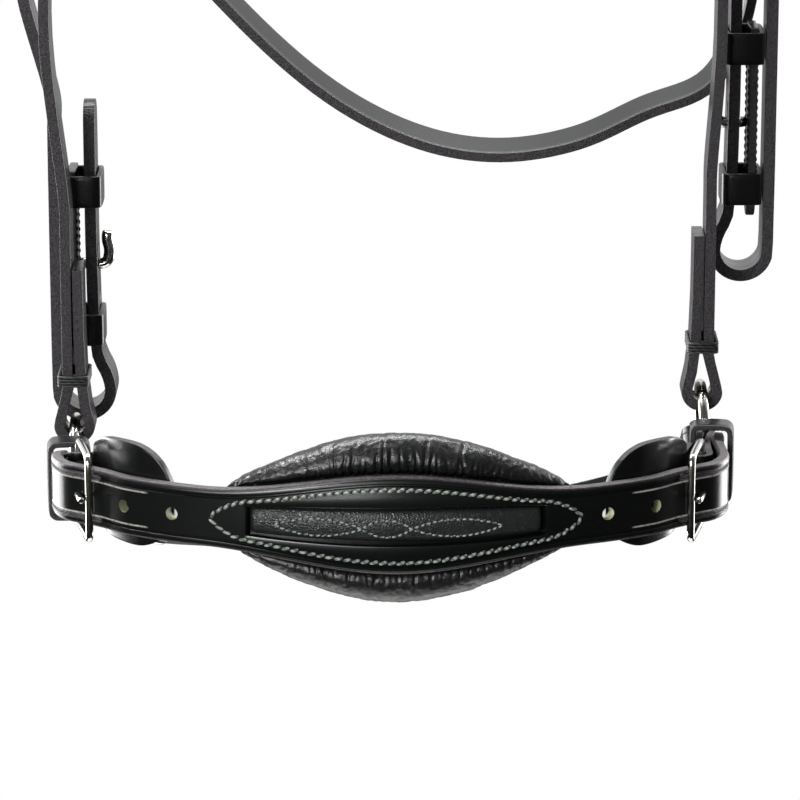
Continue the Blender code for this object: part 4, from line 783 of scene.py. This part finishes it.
def pad_half_section(out):
    """The upper half of the pad's section: flat on the noseband, rolled over its edge, full at the back."""
    share = min(abs(out - NOSE_CENTRE_OUT - PAD_SHIFT) / PAD_HALF_SPAN, 1)
    full = max(1 - share * share, 0) ** 0.6
    edge = nose_half_height(out) + GAP
    roll = PAD_ROLL * full - PAD_END_INSET * (1 - full)
    thick = PAD_END_THICKNESS + (PAD_THICKNESS - PAD_END_THICKNESS) * full
    bulge = PAD_BULGE * full
    back = PAD_SEAT
    inner = min(edge, edge + roll - NOSE_LEATHER / 2)
    front = max(roll, NOSE_LEATHER / 8)
    return [(0, back), (inner * 0.5, back), (inner * 0.97, back), (inner + front * 0.02, back - bulge * 0.5),
            (inner + front * 0.12, back - bulge * 0.95), (inner + front * 0.36, back - bulge * 1.05),
            (edge + roll * 0.72, back - bulge * 0.55), (edge + roll * 0.93, back + thick * 0.03),
            (edge + roll, back + thick * 0.24), (edge + roll * 0.93, back + thick * 0.5),
            (edge * 0.92 + roll * 0.6, back + thick * 0.78), (edge * 0.55 + roll * 0.2, back + thick * 0.95),
            (edge * 0.25, back + thick), (0, back + thick)]


def nose_pad():
    """The stuffed roll: filled by a short cloth simulation, then drawn in by its gathers and puckers."""
    count = 90
    middle = NOSE_CENTRE_OUT + PAD_SHIFT
    outs = [middle + PAD_HALF_SPAN * (2 * step / count - 1) for step in range(count + 1)]
    route = [nose_point(out) for out in outs]
    facing = outward(route)

    def section_at(index):
        half = [Vector((a, t, 0)) for a, t in pad_half_section(outs[index])]
        upper = smooth_route(half, 2)
        lower = [Vector((-point.x, point.y, 0)) for point in reversed(upper[1:-1])]
        return [(point.x, -point.y * facing) for point in upper + lower]

    mesh = swept(route, Z, section_at)
    made = piece("nose_pad_sheepskin", mesh, PAD, "noseband", 80)
    fill(made, on_seat, PAD_CAP)
    keep_result(made, rounded(made, 2))
    folds = pad_folds()
    push_out(made.data, lambda place, normal: pad_relief(place, normal, folds))
    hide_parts("nose_pad")


def on_seat(place):
    """Whether a point of the nose pad lies against the noseband, where it is sewn down."""
    return (abs(place.z + NOSE_DROP) < nose_half_height(place.x) * 0.9
            and place.y < nose_point(place.x, -PAD_SEAT).y + GAP)


def fill(made, held, cap):
    """Puffs a closed skin out as its stuffing would. held says which points are sewn down."""
    pins = made.vertex_groups.new(name="sewn_down")
    pins.add([vert.index for vert in made.data.vertices if held(vert.co)], 1.0, "REPLACE")
    before = [vert.co.copy() for vert in made.data.vertices]
    cloth = made.modifiers.new("filling", "CLOTH")
    cloth.settings.vertex_group_mass = "sewn_down"
    cloth.settings.use_pressure = True
    cloth.settings.uniform_pressure_force = STUFFING_PRESSURE
    cloth.settings.effector_weights.gravity = 0
    cloth.settings.quality = FILLING_QUALITY
    for frame_number in range(1, FILLING_FRAMES + 1):
        bpy.context.scene.frame_set(frame_number)
    seen = made.evaluated_get(bpy.context.evaluated_depsgraph_get())
    places = [vert.co.copy() for vert in seen.data.vertices]
    made.modifiers.remove(cloth)
    made.vertex_groups.remove(pins)
    for vert, old, new in zip(made.data.vertices, before, places):
        step = new - old
        if step.length > cap:
            step = step.normalized() * cap
        vert.co = old + step
    bpy.context.scene.frame_set(1)
    made.data.update()


def pad_folds():
    """The pad's gathers and puckers, above and below: the start, lean, length, depth and width of each."""
    chance = random.Random(7)
    above = []
    out = -34 * MM
    while out < 42 * MM:
        middle = math.exp(-((out - 6 * MM) / (32 * MM)) ** 4)
        above.append((out, chance.uniform(-0.15, 0.25) + out * 4, chance.uniform(5.5, 14) * MM,
                      chance.uniform(0.45, 1.05) * MM * middle, chance.uniform(0.42, 0.7) * MM))
        out += chance.uniform(1.9, 3.4) * MM
    below = []
    out = -30 * MM
    while out < 50 * MM:
        below.append((out, chance.uniform(-0.2, 0.2), chance.uniform(3, 7.5) * MM,
                      chance.uniform(0.3, 0.8) * MM, chance.uniform(0.4, 0.65) * MM))
        out += chance.uniform(1.9, 3.6) * MM
    for side in (-1, 1):
        for number in range(4):
            out = NOSE_CENTRE_OUT + side * (46 + 3.1 * number) * MM
            above.append((out, side * -0.5, 7 * MM, 0.5 * MM, 0.6 * MM))
            below.append((out, side * -0.5, 5 * MM, 0.4 * MM, 0.6 * MM))
    return above, below


def pad_relief(place, normal, folds):
    """How far the pad's skin stands in or out at a point."""
    rise = place.z + NOSE_DROP
    beyond = abs(rise) - nose_half_height(place.x)
    if beyond < -0.5 * MM and normal.y < 0.3:
        return 0.0
    lumps = noise.noise(place * 70) * 0.35 * MM + noise.noise(place * 210) * 0.22 * MM
    creases = (0.5 - abs(noise.noise(place * 420))) * 0.3 * MM
    relief = lumps + creases
    facing = min(max((0.55 - normal.y) / 0.5, 0), 1)
    for start, lean, length, depth, width in folds[0 if rise > 0 else 1]:
        line = start + lean * beyond + noise.noise(Vector((start * 300, beyond * 200, 0))) * 0.8 * MM
        off = (place.x - line) / width
        if abs(off) > 4:
            continue
        fade = min(max(1 - beyond / length, 0), 1) ** 0.7 * facing
        relief -= depth * fade * (math.exp(-off * off) - 0.45 * math.exp(-(off / 2.2) ** 2))
    return relief


def crown_arch(offset):
    """The course over the poll, an offset above the head, from end to end."""
    out = POLL_HALF_WIDTH + offset
    height = POLL_HEIGHT + offset
    turn = math.acos(1 - (PAD_END_DROP + offset) / height)
    angles = [turn * step / ARCH_STEPS for step in range(-ARCH_STEPS, ARCH_STEPS + 1)]
    return [Vector((out * math.sin(angle), 0, -POLL_HEIGHT + height * math.cos(angle))) for angle in angles]


def crown_pad():
    """The padding under the crown: full along its rolled edges, and quilted down between them."""
    route = crown_arch(CROWN_PAD_LEATHER / 2)
    run = distances(route)
    facing = 1 if section_frames(route, Y)[ARCH_STEPS][2].z > 0 else -1

    def section_at(index):
        left = min(run[index], run[-1] - run[index])
        end = math.sqrt(max(1 - (1 - min(left / CROWN_PAD_ROUND, 1)) ** 2, 0.02))
        half = CROWN_PAD_WIDTH / 2 * (0.72 + 0.28 * end)
        deep = CROWN_PAD_LEATHER / 2 * (0.45 + 0.55 * end)
        roll = CROWN_ROLL * end
        top = [(half, 0), (half - roll * 0.1, deep * 0.75),
               (half - roll * 0.45, deep + CROWN_PUFF * end),
               (half - roll * 0.85, deep), (half - roll, deep * 0.8), (half - roll * 1.4, deep * 0.96),
               (half * 0.4, deep * 0.98)]
        upper = top + [(0, deep * 0.98)] + [(-a, t) for a, t in reversed(top[1:])]
        lower = [(-half, 0), (-half + roll * 0.1, -deep * 0.75), (-half + roll * 0.5, -deep),
                 (0, -deep), (half - roll * 0.5, -deep), (half - roll * 0.1, -deep * 0.75)]
        return [(a, t * facing) for a, t in upper + lower]

    def grain(place, _):
        return noise.noise(place * 70) * 0.22 * MM + (0.5 - abs(noise.noise(place * 300))) * 0.12 * MM

    made = piece("crown_pad_sheepskin", swept(route, Y, section_at), PAD, "headpiece",
                 80)
    fill(made, lambda place: abs(place.y) < CROWN_PAD_WIDTH / 2 - CROWN_ROLL * 0.8, CROWN_CAP)
    keep_result(made, rounded(made, 2))
    push_out(made.data, grain)
    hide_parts("crown_pad")


# Sewing

def wound_binding(node):
    """Waxed thread wound round both layers of the sliphead above a ring."""
    low, high = (Vector(corner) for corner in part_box(node))
    centre = (low + high) / 2
    thread = (high.z - low.z) / BINDING_TURNS
    half_x = (high.x - low.x) / 2 - thread / 2
    half_y = (high.y - low.y) / 2 - thread / 2
    corner = thread * 1.2
    loop = []
    for quarter, (sx, sy) in enumerate(((1, 1), (-1, 1), (-1, -1), (1, -1))):
        for step in range(4):
            angle = math.pi / 2 * (quarter + step / 3)
            loop.append(Vector((sx * (half_x - corner) + corner * math.cos(angle),
                                sy * (half_y - corner) + corner * math.sin(angle), 0)))
    mesh = bmesh.new()
    for turn in range(BINDING_TURNS):
        route = [centre + point + Z * (low.z - centre.z + thread * (turn + 0.5)) for point in loop]
        ring = swept(route, Z, lambda index: round_section(thread * 0.52, 8), closed=True)
        data = mesh_data("turn", ring)
        mesh.from_mesh(data)
        bpy.data.meshes.remove(data)
    made = piece(f"{node}_thread", mesh, BINDING, BODY_OF[node], 180)
    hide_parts(node)


def one_stitch(mesh, place, along, out, length, thread, slant):
    """A length of thread, round and of one thickness, that dips into the leather at both ends."""
    turned = Matrix.Rotation(slant, 3, out) @ along
    side = out.cross(turned).normalized()
    made = bmesh.ops.create_uvsphere(mesh, u_segments=8, v_segments=8, radius=1)["verts"]
    for vert in made:
        a, b, c = vert.co
        run = math.copysign(abs(c) ** 0.7, c)
        rise = b * thread / 2 + thread * (0.2 - 0.55 * run * run)
        vert.co = place + turned * (run * length / 2) + side * (a * thread / 2) + out * rise


def one_prick(mesh, place, along, out, length, thread, slant):
    """A flat dark disc of painted shade for the awl hole half way between two stitches."""
    turned = Matrix.Rotation(slant * 2.5, 3, out) @ along
    side = out.cross(turned).normalized()
    basis = Matrix((turned, side, out)).transposed().to_4x4()
    size = Matrix.Diagonal((thread * 0.6, thread * 0.5, thread * 0.16, 1))
    bmesh.ops.create_uvsphere(mesh, u_segments=8, v_segments=4, radius=1,
                              matrix=Matrix.Translation(place + along * (length * 0.5)) @ basis @ size)


def spaced(points, pitch):
    """Points at an even pitch along a line, with the directions there."""
    run = distances(points)
    count = max(round(run[-1] / pitch), 1)
    spots = []
    index = 0
    for number in range(count):
        target = run[-1] * (number + 0.5) / count
        while run[index + 1] < target:
            index += 1
        share = (target - run[index]) / (run[index + 1] - run[index])
        step = points[index + 1] - points[index]
        spots.append((points[index] + step * share, step.normalized()))
    return spots


def sew(name, target, lines, inward, body, pitch=STITCH_PITCH, length=STITCH_LENGTH, thread=STITCH_THREAD,
        slant=STITCH_SLANT, finish=THREAD):
    """Lays stitches where lines outside a piece fall on it. inward is the way in, or gives it at a place."""
    shape = bmesh.new()
    shape.from_mesh(target.data)
    surface = BVHTree.FromBMesh(shape)
    stitches = bmesh.new()
    pricks = bmesh.new()
    chance = random.Random(len(lines[0]))
    for line in lines:
        for place, along in spaced(line, pitch):
            turn = slant + chance.uniform(-SLANT_PLAY, SLANT_PLAY)
            reach = length * chance.uniform(0.92, 1.06)
            way = inward(place) if callable(inward) else inward
            hit, normal, _, _ = surface.ray_cast(place, way)
            if hit is None:
                continue
            flat = (along - normal * along.dot(normal)).normalized()
            one_stitch(stitches, hit, flat, normal, reach, thread, turn)
            one_prick(pricks, hit, flat, normal, pitch, thread, slant)
    shape.free()
    piece(name, stitches, finish, body, 180)
    # The awl holes are flat dark discs of painted shade
    piece(f"{name}_holes", pricks, PRICK, body, 180)


def rows(name, target, node, run, across, way, inset, start, end):
    """Two rows of stitches along a strap, between two distances from the lower end of its box."""
    low, high = (Vector(corner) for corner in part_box(node))
    centre = (low + high) / 2
    half = abs((high - low).dot(across)) / 2 - inset
    first = low.dot(run) - centre.dot(run) + start
    last = low.dot(run) - centre.dot(run) + end
    away = centre - way * ((high - low).length)
    lines = [[away + across * (side * half) + run * (first + (last - first) * step / 40)
              for step in range(41)] for side in (-1, 1)]
    sew(name, target, lines, way, BODY_OF[node], ROW_PITCH, ROW_LENGTH, ROW_THREAD, finish=BINDING)


def nose_line(place_list):
    """A line of (out, rise) places held just outside the noseband."""
    return [nose_point(out, NOSE_LEATHER * 1.5, rise) for out, rise in place_list]


def nose_inward(place):
    return -nose_normal(max(min(place.x, NOSE_ELLIPSE_OUT), -NOSE_ELLIPSE_OUT))


def oval_rise(out):
    """The height of the noseband's stitched outline: along the edge, then drawn to a point."""
    side = abs(out - NOSE_CENTRE_OUT)
    left = min((OVAL_HALF_SPAN - side) / OVAL_POINT, 1)
    return (nose_half_height(out) - OVAL_INSET) * math.sin(math.pi / 2 * max(left, 0)) ** 0.62


def noseband_stitching(strap):
    outs = eased_outs(OVAL_HALF_SPAN, 160)
    top = nose_line([(out, oval_rise(out)) for out in outs])
    bottom = nose_line([(out, -oval_rise(out)) for out in reversed(outs)])
    sew("noseband_outline_stitching", strap, [top, bottom], nose_inward, "noseband")


def inlay_stitching(strip):
    """Crossing waves that make a long lens, a small diamond and another long lens."""
    nodes = [-37.5 * MM, -9 * MM, 7 * MM, 36.5 * MM]
    swing = 2.9 * MM
    lines = []
    for first in (1, -1):
        sign = first
        places = []
        for low, high in zip(nodes, nodes[1:]):
            for step in range(24):
                share = step / 24
                rise = sign * swing * math.sin(math.pi * share) ** 0.85
                places.append((low + (high - low) * share, rise - FANCY_DROP))
            sign = -sign
        places.append((nodes[-1], -FANCY_DROP))
        lines.append(nose_line(places))
    sew("inlay_fancy_stitching", strip, lines, nose_inward, "noseband", FINE_PITCH, FINE_LENGTH,
        FINE_THREAD, FINE_SLANT)


def strap_stitching(dressed):
    """The rows on the hook patches, the adjusters' safes and the browband."""
    for side, sign in (("left", -1), ("right", 1)):
        patch = f"hook_patch_{side}"
        low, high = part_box(patch)
        for face in (-1, 1):
            rows(f"{patch}_stitching_{face + 2}", dressed[patch], patch, Z, Y, X * face, ROW_INSET,
                 PATCH_ROW_LEAD, high[2] - low[2] - PATCH_ROW_LEAD)
        safe = f"adjuster_safe_{side}"
        low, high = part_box(safe)
        rows(f"{safe}_stitching", dressed[safe], safe, Y, Z, X * sign, (high[2] - low[2]) / 2 - SAFE_ROW_RISE,
             high[1] - low[1] - SAFE_ROW_START, high[1] - low[1] - SAFE_ROW_END)
    low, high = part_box("browband")
    rows("browband_stitching", dressed["browband"], "browband", X, Z, Y, ROW_INSET, BAND_ROW_LEAD,
         high[0] - low[0] - BAND_ROW_LEAD)


# Stage, light and camera

def stage():
    """A pale floor well below the hanging bridle, nearly white to the camera."""
    mesh = bmesh.new()
    bmesh.ops.create_grid(mesh, x_segments=1, y_segments=1, size=FLOOR_HALF_SIZE)
    bmesh.ops.translate(mesh, vec=(0, 0, FLOOR_LEVEL), verts=mesh.verts)
    floor = add_object("floor", mesh_data("floor", mesh))
    made, tree, shader = new_material("pale_floor", {"Base Color": linear("#e8e8e6"), "Roughness": 0.9})
    rays = add_node(tree, "ShaderNodeLightPath")
    lift = maths(tree, "MULTIPLY", rays.outputs["Is Camera Ray"], FLOOR_GLOW)
    white = add_node(tree, "ShaderNodeEmission", {"Color": (1, 1, 1, 1)}, Strength=lift)
    mixed = add_node(tree, "ShaderNodeAddShader", i0=shader.outputs[0], i1=white.outputs[0])
    tree.links.new(mixed.outputs[0], tree.nodes["Material Output"].inputs["Surface"])
    floor.data.materials.append(made)


def world_light():
    """White paper behind the bridle and a dim room in front. The camera sees plain white all round."""
    world = bpy.data.worlds.new("studio")
    bpy.context.scene.world = world
    world.use_nodes = True
    tree = world.node_tree
    base = tree.nodes["Background"]
    base.inputs["Color"].default_value = (1, 1, 1, 1)
    rays = add_node(tree, "ShaderNodeLightPath").outputs
    sky = add_node(tree, "ShaderNodeTexCoord").outputs["Generated"]
    way = add_node(tree, "ShaderNodeSeparateXYZ", i0=sky).outputs
    paper = ramp(tree, way["Y"], -0.25, 0.35, ROOM_LEVEL, 1)
    above = ramp(tree, way["Z"], -0.3, 0.05, ROOM_LEVEL, 1)
    seen = maths(tree, "MAXIMUM", rays["Is Camera Ray"], rays["Is Transmission Ray"])
    glossy = maths(tree, "MULTIPLY", maths(tree, "MULTIPLY", rays["Is Glossy Ray"], above), paper)
    diffuse = maths(tree, "MULTIPLY", rays["Is Diffuse Ray"], ROOM_DIFFUSE)
    lit = maths(tree, "MAXIMUM", maths(tree, "MAXIMUM", seen, glossy), diffuse)
    tree.links.new(lit, base.inputs["Strength"])


def softbox(name, place, target, width, height, power):
    lamp = bpy.data.lights.new(name, "AREA")
    lamp.shape = "RECTANGLE"
    lamp.size = width
    lamp.size_y = height
    lamp.energy = power
    made = add_object(name, lamp)
    made.location = place
    made.rotation_euler = (Vector(target) - Vector(place)).to_track_quat("-Z", "Y").to_euler()


def camera():
    """The photo's view: from 15 degrees above, about a metre and a half away."""
    lens = bpy.data.cameras.new("camera")
    lens.lens = LENS_LENGTH
    lens.sensor_width = SENSOR_WIDTH
    lens.clip_end = FAR_CLIP
    made = add_object("camera", lens)
    ahead = Vector((0, math.cos(VIEW_ELEVATION), -math.sin(VIEW_ELEVATION)))
    made.location = VIEW_AIM - ahead * VIEW_DISTANCE
    made.rotation_euler = (math.pi / 2 - VIEW_ELEVATION, 0, 0)
    bpy.context.scene.camera = made


# Everything together

STRAP_AXES = {
    "crown_strap": Y, "sliphead_strap": Y, "sliphead_cheek": Y, "cheek_strap_left": Y, "cheek_strap_right": Y,
    "hook_patch_left": Y, "hook_patch_right": Y, "throatlash_strap": Y, "browband": Z,
    "adjuster_chape_left": Z, "adjuster_chape_right": Z, "adjuster_safe_left": Z, "adjuster_safe_right": Z,
}
WIRE_WORDS = ("buckle", "tongue", "stud")


def chin_axis():
    """The direction across the chin strap, which hangs down behind the rings."""
    rings = Vector((RING_OUT * 2, 0, LEFT_RING_DROP - RIGHT_RING_DROP)).normalized()
    up = rings.cross(Y).normalized()
    back = Y * math.cos(CHIN_HANG) - up * math.sin(CHIN_HANG)
    return rings.cross(back).normalized()


def keeper_axis(node):
    """The direction along the straps that a keeper holds."""
    low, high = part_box(node)
    if node.startswith("adjuster"):
        return Y
    if node.startswith("chin"):
        return X
    return Z


def main():
    nodes = frame["nodes"]
    dressed = {}
    for node in sorted(nodes):
        if node in STRAP_AXES:
            uncreased = node == "throatlash_strap" or "safe" in node
            # The browband's end loops close on the crown strap, which rounding would make them touch
            dressed[node] = dressed_strap(node, STRAP_AXES[node], PLAIN if uncreased else FACE,
                                          smoothed=node != "browband")
        elif node in ("chin_strap", "chin_chape"):
            dressed_strap(node, chin_axis())
        elif "keeper" in node or "runner" in node:
            dressed_strap(node, keeper_axis(node), PLAIN, KEEPER_RUB)
        elif node in ("ring_left", "ring_right") or any(word in node for word in WIRE_WORDS):
            polished_wire(node, STUD_FULLNESS if "stud" in node else 0.0)
    strap = nosepiece()
    strip = nosepiece_inlay()
    noseband_stitching(strap)
    inlay_stitching(strip)
    strap_stitching(dressed)
    nose_pad()
    crown_pad()
    for node in ("ring_binding_left", "ring_binding_right"):
        wound_binding(node)
    lining = nodes["nosepiece_lining"].data
    lining.materials.clear()
    lining.materials.append(NOSE_FACE)
    stage()
    world_light()
    for name, lamp in LAMPS.items():
        softbox(name, *lamp)
    camera()
    bpy.context.scene.view_settings.view_transform = "Standard"


main()
